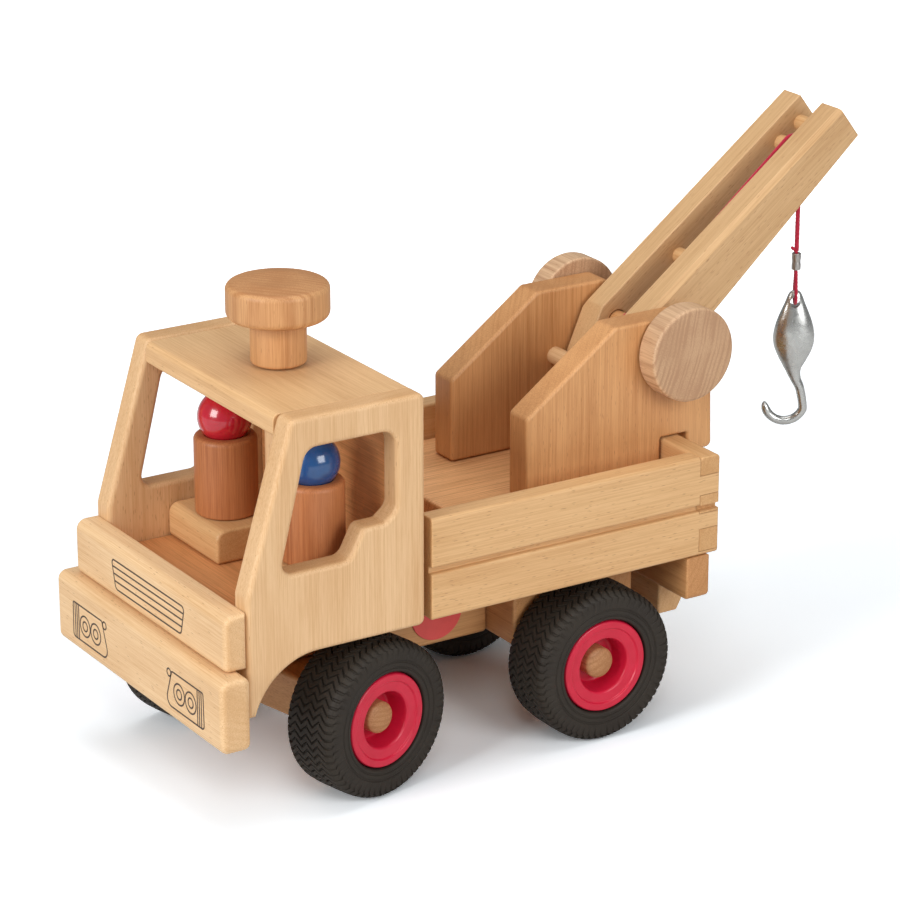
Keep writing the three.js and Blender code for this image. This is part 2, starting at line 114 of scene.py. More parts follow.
@dataclass
class Surface:
    """A closed mesh: points in millimetres and faces as rows of point numbers."""

    points: Points
    faces: list[list[int]]

    def __add__(self, other: "Surface") -> "Surface":
        """Both surfaces as one."""
        moved = [[i + len(self.points) for i in face] for face in other.faces]
        return Surface(np.vstack([self.points, other.points]), self.faces + moved)

    def outward(self) -> "Surface":
        """The same surface with its faces turned outwards: its signed volume must be above zero."""
        triangles = np.array([(f[0], f[k], f[k + 1]) for f in self.faces for k in range(1, len(f) - 1)])
        a, b, c = (self.points[triangles[:, k]] for k in range(3))
        if np.einsum("ij,ij->", a, np.cross(b, c)) < 0:
            return Surface(self.points, [face[::-1] for face in self.faces])
        return self


def rounded(corners: Sequence[Corner], closed: bool = True) -> Points:
    """Traces straight sides with an arc at each corner that has a radius.

    The arc touches both sides at radius / tan(half the corner's angle) from the corner, and its points are
    centre + radius * (cos, sin) of an angle that goes evenly from one touching point to the other.

    Args:
        corners: (a, b) or (a, b, radius) in order along the outline.
        closed: whether the last corner joins the first; an open outline keeps its two ends as they are.

    Returns:
        The points of the outline, one row each.
    """
    traced = []
    count = len(corners)
    for i, (a, b, *rest) in enumerate(corners):
        corner = np.array([a, b], float)
        radius = rest[0] if rest else 0.0
        if radius == 0 or (not closed and i in (0, count - 1)):
            traced.append(corner[None])
            continue
        back = np.array(corners[i - 1][:2]) - corner
        on = np.array(corners[(i + 1) % count][:2]) - corner
        back, on = back / np.linalg.norm(back), on / np.linalg.norm(on)
        half = math.acos(np.clip(back @ on, -1, 1)) / 2
        reach = radius / math.tan(half)
        centre = corner + (back + on) / np.linalg.norm(back + on) * radius / math.sin(half)
        start, end = corner + back * reach - centre, corner + on * reach - centre
        sweep = math.atan2(start[0] * end[1] - start[1] * end[0], start @ end)
        steps = max(4, math.ceil(abs(sweep) * math.sqrt(radius) * 2.4))
        angle = math.atan2(start[1], start[0]) + np.linspace(0, sweep, steps + 1)
        arc = centre + radius * np.stack([np.cos(angle), np.sin(angle)], 1)
        traced += [(corner + back * (reach + SUPPORT))[None], arc, (corner + on * (reach + SUPPORT))[None]]
    return np.vstack(traced)


def circle(a: float, b: float, radius: float, sides: int = 48) -> Points:
    """A round outline: centre + radius * (cos, sin) of an even angle."""
    turn = np.arange(sides) * 2 * math.pi / sides
    return np.stack([a + radius * np.cos(turn), b + radius * np.sin(turn)], 1)


def turning(loop: Points) -> float:
    """Signed area of a loop, above zero when it runs anticlockwise."""
    ahead = np.roll(loop, -1, 0)
    return float((loop[:, 0] * ahead[:, 1] - loop[:, 1] * ahead[:, 0]).sum() / 2)


def inset(loop: Points, distance: float) -> Points:
    """Moves a loop to its left, corner by corner.

    Each point moves by distance * (m + n) / (1 + m.n), where m and n are the left normals of its two sides.
    """
    along = np.roll(loop, -1, 0) - loop
    along /= np.linalg.norm(along, axis=1, keepdims=True)
    normal = np.stack([-along[:, 1], along[:, 0]], 1)
    before = np.roll(normal, 1, 0)
    return loop + distance * (before + normal) / (1 + (before * normal).sum(1, keepdims=True))


def edge_steps(low: float, high: float, edge: float, steps: int = 4) -> Points:
    """Rounded edge of a board as (inset, height) rows, from the low face to the high one.

    Along the rounding, inset = edge * (1 - sin t) and height = edge * (1 - cos t) for t from 0 to 90 degrees.
    """
    if edge <= 0:
        return np.array([(0.0, low), (0.0, high)])
    t = np.linspace(0, math.pi / 2, steps + 1)
    rise = np.stack([edge * (1 - np.sin(t)), edge * (1 - np.cos(t))], 1)
    rise = np.vstack([(edge + SUPPORT, 0.0), rise, (0.0, edge + SUPPORT)])
    fall = rise[::-1] * (1, -1)
    return np.vstack([rise + (0, low), fall + (0, high)])


def board(
    outline: Points, span: Sequence[float], axis: Axis, edge: float = 1.2, holes: Sequence[Points] = ()
) -> Surface:
    """A flat board: the rounded edge's profile carried round its outline and round each hole, with flat faces.

    Args:
        outline: the closed outline in the board's plane.
        span: where the two faces lie along the axis.
        axis: the axis across the board.
        edge: radius of the rounding along every edge.
        holes: closed outlines that go right through.

    Returns:
        The closed surface.
    """
    loops = [outline if turning(outline) > 0 else outline[::-1]]
    loops += [hole if turning(hole) < 0 else hole[::-1] for hole in holes]
    profile = edge_steps(span[0], span[1], edge)
    rings = len(profile)
    points, faces, first = [], [], 0
    low_rim, high_rim = [], []
    for loop in loops:
        count = len(loop)
        flat = np.vstack([inset(loop, away) for away, _ in profile])
        points.append(np.column_stack([flat, np.repeat(profile[:, 1], count)]))
        i = np.arange(rings - 1)[:, None] * count + np.arange(count)[None] + first
        on = np.arange(rings - 1)[:, None] * count + (np.arange(count)[None] + 1) % count + first
        faces += np.stack([i, on, on + count, i + count], -1).reshape(-1, 4).tolist()
        low_rim.append(np.arange(count) + first)
        high_rim.append(np.arange(count) + first + (rings - 1) * count)
        first += count * rings
    placed = np.vstack(points)
    caps = tessellate_polygon([[Vector((a, b, 0)) for a, b, _ in placed[rim]] for rim in low_rim])
    low_index, high_index = np.concatenate(low_rim), np.concatenate(high_rim)
    for triangle in caps:
        a, b, c = placed[low_index[list(triangle)], :2]
        turn = list(triangle) if np.cross(b - a, c - a) > 0 else list(triangle)[::-1]
        faces.append(high_index[turn].tolist())
        faces.append(low_index[turn[::-1]].tolist())
    return Surface(placed[:, axis.value], faces).outward()


def cuboid(low: Sequence[float], high: Sequence[float], edge: float = 1.0) -> Surface:
    """A straight board between two corners, its rounded edges running along Z."""
    radius = edge + 3 * SUPPORT if edge else 0
    corners = [(low[0], low[1]), (high[0], low[1]), (high[0], high[1]), (low[0], high[1])]
    return board(rounded([(*corner, radius) for corner in corners]), (low[2], high[2]), Axis.Z, edge)


def frame_of(direction: Sequence[float], across: Sequence[float]) -> Points:
    """Three unit rows: across, the direction's left of it, and the direction itself."""
    along = np.array(direction, float) / np.linalg.norm(direction)
    side = np.cross(across, along)
    side /= np.linalg.norm(side)
    return np.stack([np.cross(along, side), side, along])


def grid_faces(rows: int, columns: int, wrap_rows: bool = False) -> list[list[int]]:
    """Four-sided faces between the points of a grid whose columns close on themselves."""
    last = rows if wrap_rows else rows - 1
    row = np.arange(last)[:, None]
    here, there = row * columns, (row + 1) % rows * columns
    column = np.arange(columns)[None]
    on = (column + 1) % columns
    return np.stack([here + column, here + on, there + on, there + column], -1).reshape(-1, 4).tolist()


def lathe(
    profile: Points, centre: Sequence[float], direction: Sequence[float], sides: int = 64, ring: bool = False
) -> Surface:
    """A turned piece: each (along, radius) row of the profile carried round the axis.

    A point is centre + along * direction + radius * (cos u, sin u) in the plane across the direction.

    Args:
        profile: (along, radius) rows; a row with no radius is a pole.
        centre: where along is zero on the axis.
        direction: the axis.
        sides: points round the axis.
        ring: whether the profile closes on itself, as for a tyre.

    Returns:
        The closed surface.
    """
    across = (0, 0, 1) if abs(direction[2]) < 0.9 else (1, 0, 0)
    first, second, along = frame_of(direction, across)
    turn = np.arange(sides) * 2 * math.pi / sides
    round_it = np.cos(turn)[:, None] * first + np.sin(turn)[:, None] * second
    solid = profile if ring else profile[profile[:, 1] > 1e-6]
    points = (
        np.array(centre)
        + solid[:, 0][:, None, None] * along
        + solid[:, 1][:, None, None] * round_it[None]
    ).reshape(-1, 3)
    faces = grid_faces(len(solid), sides, ring)
    if not ring:
        for row, end in ((0, profile[0]), (len(solid) - 1, profile[-1])):
            points = np.vstack([points, np.array(centre) + end[0] * along])
            rim = row * sides + np.arange(sides)
            fan = np.stack([np.roll(rim, -1), rim, np.full(sides, len(points) - 1)], 1)
            faces += (fan if row == 0 else fan[:, ::-1]).tolist()
    return Surface(points, faces).outward()


def sweep(path: Points, across: Sequence[float], wide: Points, thick: Points) -> Surface:
    """An oval section carried along a path, closed by a pole at each end.

    A point is path + wide * cos u * side + thick * sin u * up, where up is across the path and side lies in its
    plane. wide and thick are rows along the path, and may change round the section too.

    Args:
        path: centre line, one row a point.
        across: a direction that the path never follows.
        wide: half width, one a path point, or one a path point and side.
        thick: half thickness, likewise.

    Returns:
        The closed surface.
    """
    tangent = np.gradient(path, axis=0)
    tangent /= np.linalg.norm(tangent, axis=1, keepdims=True)
    side = np.cross(tangent, np.array(across, float))
    side /= np.linalg.norm(side, axis=1, keepdims=True)
    up = np.cross(side, tangent)
    sides = wide.shape[1]
    turn = np.arange(sides) * 2 * math.pi / sides
    ovals = (
        path[:, None]
        + (wide * np.cos(turn))[..., None] * side[:, None]
        + (thick * np.sin(turn))[..., None] * up[:, None]
    )
    points = np.vstack([ovals.reshape(-1, 3), path[0] - tangent[0] * 0.02, path[-1] + tangent[-1] * 0.02])
    faces = grid_faces(len(path), sides)
    rim = np.arange(sides)
    start = np.stack([np.roll(rim, -1), rim, np.full(sides, len(points) - 2)], 1)
    end = np.stack([rim, np.roll(rim, -1), np.full(sides, len(points) - 1)], 1)
    end[:, :2] += (len(path) - 1) * sides
    return Surface(points, faces + start.tolist() + end.tolist()).outward()


def between(first: Points, second: Points, low: float, high: float, t: Points) -> Points:
    """Points at t on the straight line that is at first when t is low and at second when t is high."""
    return (high - t) / (high - low) * first + (t - low) / (high - low) * second


def smooth_path(corners: Sequence[Sequence[float]], step: float) -> Points:
    """A curve through given points, sampled evenly.

    It is a centripetal Catmull-Rom curve: each stretch is a cubic whose ends follow the points on both sides.
    """
    given = np.array(corners, float)
    given = np.vstack([2 * given[0] - given[1], given, 2 * given[-1] - given[-2]])
    knots = np.concatenate([[0], np.cumsum(np.linalg.norm(np.diff(given, axis=0), axis=1) ** 0.5)])
    pieces = []
    for i in range(1, len(given) - 2):
        t = np.linspace(knots[i], knots[i + 1], 24, endpoint=False)[:, None]
        p, k = given[i - 1 : i + 3], knots[i - 1 : i + 3]
        a = [between(p[j], p[j + 1], k[j], k[j + 1], t) for j in range(3)]
        b = [between(a[j], a[j + 1], k[j], k[j + 2], t) for j in range(2)]
        pieces.append(between(b[0], b[1], k[1], k[2], t))
    return evenly(np.vstack([*pieces, given[-2][None]]), step)


def evenly(path: Points, step: float) -> Points:
    """The same line with its points a step apart."""
    run = np.concatenate([[0], np.cumsum(np.linalg.norm(np.diff(path, axis=0), axis=1))])
    at = np.linspace(0, run[-1], max(2, round(run[-1] / step) + 1))
    return np.stack([np.interp(at, run, path[:, k]) for k in range(path.shape[1])], 1)


def twisted_cord(
    path: Points, across: Sequence[float], radius: float, lay: float = 5.5, sides: int = 18
) -> Surface:
    """A laid cord of three strands along a path.

    The radius is R * (0.8 + 0.2 * |cos(1.5 * (u + 2 pi s / lay))|), so that three round strands wind about the
    centre once in each lay length, and it falls to a round tip over the last radius of each end.
    """
    run = np.concatenate([[0], np.cumsum(np.linalg.norm(np.diff(path, axis=0), axis=1))])
    turn = np.arange(sides) * 2 * math.pi / sides
    strands = 0.8 + 0.2 * np.abs(np.cos(1.5 * (turn[None] + 2 * math.pi * run[:, None] / lay)))
    left = np.minimum(run, run[-1] - run)[:, None]
    tip = np.sqrt(np.clip(1 - (1 - np.clip(left / radius, 0.06, 1)) ** 2, 0, 1))
    reach = radius * strands * tip
    return sweep(path, across, reach, reach)


# ------------------------------------------------------------------ pieces


def new_piece(
    name: str, surface: Surface, material: bpy.types.Material, crease: float = 38
) -> bpy.types.Object:
    """Puts a surface into a smooth-shaded object at the origin.

    Args:
        name: the piece's name.
        surface: its points and faces in millimetres.
        material: its finish.
        crease: angle in degrees above which an edge stays sharp.

    Returns:
        The object.
    """
    mesh = bpy.data.meshes.new(name)
    mesh.from_pydata((surface.points * MM).tolist(), [], surface.faces)
    mesh.validate()
    mesh.polygons.foreach_set("use_smooth", np.ones(len(mesh.polygons), bool))
    mesh.set_sharp_from_angle(angle=math.radians(crease))
    mesh.materials.append(material)
    piece = bpy.data.objects.new(name, mesh)
    bpy.context.scene.collection.objects.link(piece)
    return piece


def carve(piece: bpy.types.Object, *cutters: Surface, crease: float = 38) -> None:
    """Cuts surfaces out of a piece with an exact boolean and applies it."""
    for number, cutter in enumerate(cutters):
        tool = new_piece(f"{piece.name}_cutter_{number}", cutter, piece.data.materials[0])
        cut = piece.modifiers.new("cut", "BOOLEAN")
        cut.operation, cut.solver, cut.object = "DIFFERENCE", "EXACT", tool
        graph = bpy.context.evaluated_depsgraph_get()
        mesh = bpy.data.meshes.new_from_object(piece.evaluated_get(graph))
        piece.modifiers.clear()
        piece.data = mesh
        bpy.data.objects.remove(tool)
    clean = bmesh.new()
    clean.from_mesh(piece.data)
    bmesh.ops.remove_doubles(clean, verts=clean.verts, dist=MERGE * MM)
    bmesh.ops.dissolve_degenerate(clean, edges=clean.edges, dist=MERGE * MM)
    clean.to_mesh(piece.data)
    clean.free()
    piece.data.polygons.foreach_set("use_smooth", np.ones(len(piece.data.polygons), bool))
    piece.data.set_sharp_from_angle(angle=math.radians(crease))


def stand_in(
    node: str, surface: Surface, finish: "Finish", *cutters: Surface, crease: float = 38
) -> bpy.types.Object:
    """Makes the piece that is shown in place of a CAD node.

    Args:
        node: the CAD node.
        surface: the fine shape.
        finish: its material.
        cutters: surfaces that are cut out of it.
        crease: angle above which an edge stays sharp.

    Returns:
        The object, riding on the node's body.
    """
    piece = new_piece(f"{node}_fine", surface, finish.material(node), crease)
    if cutters:
        carve(piece, *cutters, crease=crease)
    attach(piece, BODY_OF[node])
    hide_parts(node)
    log.info("%s: %d faces", piece.name, len(piece.data.polygons))
    return piece


# ------------------------------------------------------------------ shader building


class Net:
    """Places and links the nodes of one shader tree."""

    def __init__(self, tree: bpy.types.NodeTree) -> None:
        """Keeps the tree."""
        self.tree = tree

    def set(self, socket: bpy.types.NodeSocket, value: object) -> None:
        """Links a socket to another one, or gives it a value."""
        if isinstance(value, bpy.types.NodeSocket):
            self.tree.links.new(value, socket)
        elif isinstance(value, tuple) and socket.type == "RGBA" and len(value) == 3:
            socket.default_value = (*value, 1)
        else:
            socket.default_value = value

    def add(
        self, kind: str, inputs: dict[str | int, object] | None = None, **settings: object
    ) -> bpy.types.Node:
        """Adds a node with its settings and its inputs."""
        node = self.tree.nodes.new(kind)
        for name, value in settings.items():
            setattr(node, name, value)
        for name, value in (inputs or {}).items():
            self.set(node.inputs[name], value)
        return node

    def math(self, operation: str, *values: object) -> bpy.types.NodeSocket:
        """A math node's result."""
        return self.add("ShaderNodeMath", dict(enumerate(values)), operation=operation).outputs[0]

    def vector(self, operation: str, *values: object, output: int = 0) -> bpy.types.NodeSocket:
        """A vector math node's result."""
        return self.add("ShaderNodeVectorMath", dict(enumerate(values)), operation=operation).outputs[output]

    def noise(self, vector: object, scale: float, detail: float = 2) -> bpy.types.NodeSocket:
        """A noise texture's value."""
        inputs = {"Vector": vector, "Scale": scale, "Detail": detail}
        return self.add("ShaderNodeTexNoise", inputs).outputs[0]

    def ramp(self, value: object, low: float, high: float) -> bpy.types.NodeSocket:
        """A smooth step from 0 at low to 1 at high."""
        inputs = {"Value": value, "From Min": low, "From Max": high}
        return self.add("ShaderNodeMapRange", inputs, interpolation_type="SMOOTHSTEP").outputs[0]

    def mix(self, factor: object, first: object, second: object, blend: str = "MIX") -> bpy.types.NodeSocket:
        """Two colours mixed."""
        node = self.add("ShaderNodeMix", data_type="RGBA", blend_type=blend)
        self.set(node.inputs[0], factor)
        self.set(node.inputs[6], first)
        self.set(node.inputs[7], second)
        return node.outputs[2]

    def group(self, group: bpy.types.NodeTree, inputs: dict[str, object]) -> bpy.types.Node:
        """A node group with its inputs."""
        node = self.add("ShaderNodeGroup", node_tree=group)
        for name, value in inputs.items():
            self.set(node.inputs[name], value)
        return node


def new_group(
    name: str, inputs: dict[str, tuple[str, object]], outputs: dict[str, str]
) -> tuple[Net, dict, dict]:
    """Starts a shader group with named sockets.

    Args:
        name: the group's name.
        inputs: socket type and default value for each input name.
        outputs: socket type for each output name.

    Returns:
        The net to build in, the input sockets by name and the output sockets by name.
    """
    tree = bpy.data.node_groups.new(name, "ShaderNodeTree")
    for label, (kind, value) in inputs.items():
        socket = tree.interface.new_socket(label, in_out="INPUT", socket_type=kind)
        if value is not None:
            socket.default_value = value
    for label, kind in outputs.items():
        tree.interface.new_socket(label, in_out="OUTPUT", socket_type=kind)
    net = Net(tree)
    return net, net.add("NodeGroupInput").outputs, net.add("NodeGroupOutput").inputs


def beech_group() -> bpy.types.NodeTree:
    """The pattern of planed beech, for a vector in millimetres whose Z runs along the grain.

    Growth rings are a sharpened sine of the distance from the log's middle, bent by a slow noise. Fibres are
    noise drawn out along Z. Rays are drawn-out cells, of which some show, as short dark dashes on the long faces
    and as dots on the ends.
    """
    kinds = {"Vector": ("NodeSocketVector", None), "Ring width": ("NodeSocketFloat", 3.0)}
    kinds |= {"Light": ("NodeSocketColor", (0.7, 0.45, 0.25, 1))}
    kinds |= {"Dark": ("NodeSocketColor", (0.5, 0.28, 0.12, 1))}
    kinds |= {"Ray": ("NodeSocketColor", (0.25, 0.1, 0.04, 1)), "End": ("NodeSocketFloat", 0.0)}
    kinds |= {"Rings": ("NodeSocketFloat", 0.4), "Rays": ("NodeSocketFloat", 0.5)}
    outputs = {"Color": "NodeSocketColor", "Roughness": "NodeSocketFloat", "Height": "NodeSocketFloat"}
    net, given, made = new_group("beech", kinds, outputs)
    vector = given["Vector"]

    def grain(stretch: Corner, detail: float = 2) -> bpy.types.NodeSocket:
        """Noise over the vector, stretched along each axis."""
        return net.noise(net.vector("MULTIPLY", vector, stretch), 1.0, detail)

    slow = net.vector("MULTIPLY", vector, (0.03, 0.03, 0.006))
    bend = net.add("ShaderNodeTexNoise", {"Vector": slow, "Scale": 1.0, "Detail": 2.0}).outputs["Color"]
    bent = net.vector("ADD", vector, net.vector("MULTIPLY", bend, (7.0, 7.0, 0.0)))
    radius = net.vector("LENGTH", net.vector("MULTIPLY", bent, (1.0, 1.0, 0.0)), output=1)
    out = net.add("ShaderNodeCombineXYZ", {0: radius}).outputs[0]
    spacing = net.noise(net.vector("MULTIPLY", out, (0.16,) * 3), 1.0)
    turns = net.math("MULTIPLY_ADD", spacing, 2.6, net.math("DIVIDE", radius, given["Ring width"]))
    wave = net.math("MULTIPLY_ADD", net.math("SINE", net.math("MULTIPLY", turns, 2 * math.pi)), 0.5, 0.5)
    ring = net.math("POWER", wave, 2.5)
    faint = net.ramp(grain((0.08, 0.08, 0.01)), 0.3, 0.7)
    ring = net.math("MULTIPLY", ring, net.math("MULTIPLY_ADD", faint, 0.8, 0.2))
    fibre = grain((1.9, 1.9, 0.025), 3)
    hair = grain((5.0, 5.0, 0.12))
    tone = grain((0.05, 0.05, 0.012))
    cells = net.add(
        "ShaderNodeTexVoronoi", {"Vector": net.vector("MULTIPLY", vector, (1.3, 1.3, 0.17)), "Scale": 1.0}
    )
    chosen = net.ramp(net.add("ShaderNodeSeparateColor", {0: cells.outputs["Color"]}).outputs[0], 0.74, 0.82)
    dash = net.math("SUBTRACT", 1.0, net.ramp(cells.outputs["Distance"], 0.12, 0.26))
    ray = net.math("MULTIPLY", net.math("MULTIPLY", dash, chosen), given["Rays"])
    depth = net.math("MULTIPLY", ring, given["Rings"])
    depth = net.math("ADD", depth, net.math("MULTIPLY", net.ramp(fibre, 0.35, 0.7), 0.42))
    depth = net.math("ADD", depth, net.math("MULTIPLY", net.ramp(hair, 0.35, 0.7), 0.26))
    depth = net.math("ADD", depth, net.math("MULTIPLY", net.ramp(tone, 0.35, 0.75), 0.3))
    depth = net.math("ADD", depth, net.math("MULTIPLY", given["End"], 0.35))
    colour = net.mix(net.math("MINIMUM", depth, 1.0), given["Light"], given["Dark"])
    colour = net.mix(ray, colour, given["Ray"])
    net.set(made["Color"], colour)
    rough = net.math("MULTIPLY_ADD", hair, 0.14, 0.38)
    net.set(made["Roughness"], net.math("MULTIPLY_ADD", given["End"], 0.16, rough))
    height = net.math("MULTIPLY_ADD", ray, -0.6, net.math("MULTIPLY", hair, 0.6))
    net.set(made["Height"], net.math("MULTIPLY_ADD", fibre, 0.5, height))
    return net.tree


def grit_group() -> bpy.types.NodeTree:
    """Fine unevenness for moulded, painted and cast surfaces: a slow mottle and a fine grit, both noise."""
    net, given, made = new_group(
        "grit",
        {"Vector": ("NodeSocketVector", None), "Mottle size": ("NodeSocketFloat", 120.0)},
        {"Mottle": "NodeSocketFloat", "Grit": "NodeSocketFloat"},
    )
    net.set(made["Mottle"], net.noise(given["Vector"], given["Mottle size"], 3))
    net.set(made["Grit"], net.noise(given["Vector"], 2600.0, 2))
    return net.tree


GROUPS: dict[str, bpy.types.NodeTree] = {}


def shared_group(name: str) -> bpy.types.NodeTree:
    """A shader group by name, made the first time it is asked for."""
    makers = {"beech": beech_group, "grit": grit_group}
    if name not in GROUPS:
        GROUPS[name] = makers[name]()
    return GROUPS[name]


# ------------------------------------------------------------------ finishes


class Grain(Enum):
    """Which way a wooden piece's fibres run."""

    ACROSS = (1.0, 0.0, 0.0)
    LENGTHWISE = (0.0, 1.0, 0.0)
    UPRIGHT = (0.0, 0.0, 1.0)
    BOOM = (0.0, 0.793, 0.609)


class Finish:
    """A finish that makes one material for each piece or for all of them."""

    def material(self, node: str) -> bpy.types.Material:
        """The material for a piece that stands for a node."""
        raise NotImplementedError


def new_material(name: str) -> tuple[bpy.types.Material, Net, bpy.types.Node]:
    """A material with an empty net and its principled shader."""
    material = bpy.data.materials.new(name)
    material.use_nodes = True
    net = Net(material.node_tree)
    return material, net, material.node_tree.nodes["Principled BSDF"]


@dataclass(frozen=True)
class Beech(Finish):
    """Oiled beech, with its colours and the way it was cut."""

    name: str = "pale"
    grain: Grain = Grain.LENGTHWISE
    light: Corner = (0.80, 0.535, 0.295)
    dark: Corner = (0.60, 0.335, 0.145)
    ray: Corner = (0.33, 0.145, 0.055)
    ring_width: float = 3.4
    rings: float = 0.2
    rays: float = 0.6
    pith: Corner = (150.0, 120.0)

    def material(self, node: str) -> bpy.types.Material:
        """Beech cut from its own part of the log: the node's name picks the part."""
        material, net, shader = new_material(f"beech_{self.name}_{node}")
        along = Vector(self.grain.value).normalized()
        turn = along.rotation_difference(Vector((0, 0, 1))).to_euler()
        pick = zlib.crc32(node.encode())
        place = (self.pith[0] + pick % 37, self.pith[1] + pick // 37 % 41, pick // 1517 % 997)
        at = net.add("ShaderNodeTexCoord")
        mapped = net.add(
            "ShaderNodeMapping",
            {
                "Vector": at.outputs["Object"],
                "Location": place,
                "Rotation": tuple(turn),
                "Scale": (1 / MM,) * 3,
            },
        ).outputs[0]
        facing = net.math("ABSOLUTE", net.vector("DOT_PRODUCT", at.outputs["Normal"], tuple(along), output=1))
        wood = net.group(
            shared_group("beech"),
            {
                "Vector": mapped,
                "Ring width": self.ring_width,
                "Light": self.light,
                "Dark": self.dark,
                "Ray": self.ray,
                "End": net.ramp(facing, 0.7, 0.97),
                "Rings": self.rings,
                "Rays": self.rays,
            },
        )
        net.set(shader.inputs["Base Color"], wood.outputs["Color"])
        net.set(shader.inputs["Roughness"], wood.outputs["Roughness"])
        bump = net.add(
            "ShaderNodeBump", {"Strength": 0.25, "Distance": 0.0001, "Height": wood.outputs["Height"]}
        )
        net.set(shader.inputs["Normal"], bump.outputs[0])
        shader.inputs["Specular IOR Level"].default_value = 0.42
        return material


@dataclass(frozen=True)
class Moulded(Finish):
    """Paint, plastic, rubber or metal with a slight mottle and a fine grit."""

    name: str
    colour: Corner
    shade: Corner
    roughness: float = 0.4
    spread: float = 0.1
    metallic: float = 0.0
    coat: float = 0.0
    grit: float = 0.1
    mottle: float = 120.0
    specular: float = 0.5
    sheen: float = 0.0

    def material(self, node: str) -> bpy.types.Material:
        """One material for every piece with this finish."""
        found = bpy.data.materials.get(f"{self.name}_finish")
        if found:
            return found
        material, net, shader = new_material(f"{self.name}_finish")
        at = net.add("ShaderNodeTexCoord").outputs["Object"]
        grit = net.group(shared_group("grit"), {"Vector": at, "Mottle size": self.mottle})
        share = net.ramp(grit.outputs["Mottle"], 0.3, 0.7)
        net.set(shader.inputs["Base Color"], net.mix(share, self.colour, self.shade))
        net.set(shader.inputs["Roughness"], net.math("MULTIPLY_ADD", share, self.spread, self.roughness))
        bump = net.add(
            "ShaderNodeBump", {"Strength": self.grit, "Distance": 0.0001, "Height": grit.outputs["Grit"]}
        )
        net.set(shader.inputs["Normal"], bump.outputs[0])
        shader.inputs["Metallic"].default_value = self.metallic
        shader.inputs["Coat Weight"].default_value = self.coat
        shader.inputs["Coat Roughness"].default_value = 0.08
        shader.inputs["Specular IOR Level"].default_value = self.specular
        shader.inputs["Sheen Weight"].default_value = self.sheen
        return material


PALE = Beech()
BOARD = Beech("board", light=(0.77, 0.485, 0.235), dark=(0.56, 0.295, 0.115))
WARM = Beech("warm", light=(0.69, 0.365, 0.155), dark=(0.46, 0.205, 0.07), rings=0.28)
DEEP = Beech("deep", light=(0.57, 0.225, 0.085), dark=(0.36, 0.115, 0.038), rings=0.4, rays=0.5)
END = Beech(
    "end", light=(0.72, 0.48, 0.285), dark=(0.45, 0.255, 0.14), ring_width=2.8, rings=0.7, pith=(195.0, 60.0)
)
RED_PAINT = Moulded("red_paint", (0.58, 0.006, 0.03), (0.52, 0.005, 0.024), 0.2, 0.05, coat=1.0, grit=0.02)
BLUE_PAINT = Moulded("blue_paint", (0.006, 0.075, 0.25), (0.005, 0.062, 0.21), 0.2, 0.05, coat=1.0, grit=0.02)
RED_PLASTIC = Moulded("red_plastic", (0.64, 0.010, 0.045), (0.59, 0.008, 0.038), 0.28, 0.08, grit=0.05)
RUBBER = Moulded(
    "rubber", (0.025, 0.019, 0.014), (0.034, 0.027, 0.020), 0.55, 0.15, grit=0.25, mottle=60.0, specular=0.3
)
STEEL = Moulded(
    "steel", (0.52, 0.50, 0.47), (0.44, 0.42, 0.40), 0.3, 0.12, metallic=1.0, grit=0.1, mottle=400.0
)
CAST = Moulded(
    "cast_metal", (0.66, 0.67, 0.65), (0.60, 0.61, 0.595), 0.22, 0.10, metallic=1.0, grit=0.12, mottle=320.0
)
CORD = Moulded(
    "red_cord", (0.58, 0.008, 0.05), (0.42, 0.004, 0.03), 0.75, 0.1, grit=0.8, mottle=900.0, sheen=0.3
)
FILM = Moulded("red_film", (0.86, 0.11, 0.10), (0.80, 0.10, 0.09), 0.4, 0.1, grit=0.05)
INK = Moulded("dark_print", (0.045, 0.026, 0.018), (0.08, 0.045, 0.03), 0.5, 0.1, grit=0.1, mottle=500.0)


# ------------------------------------------------------------------ cab


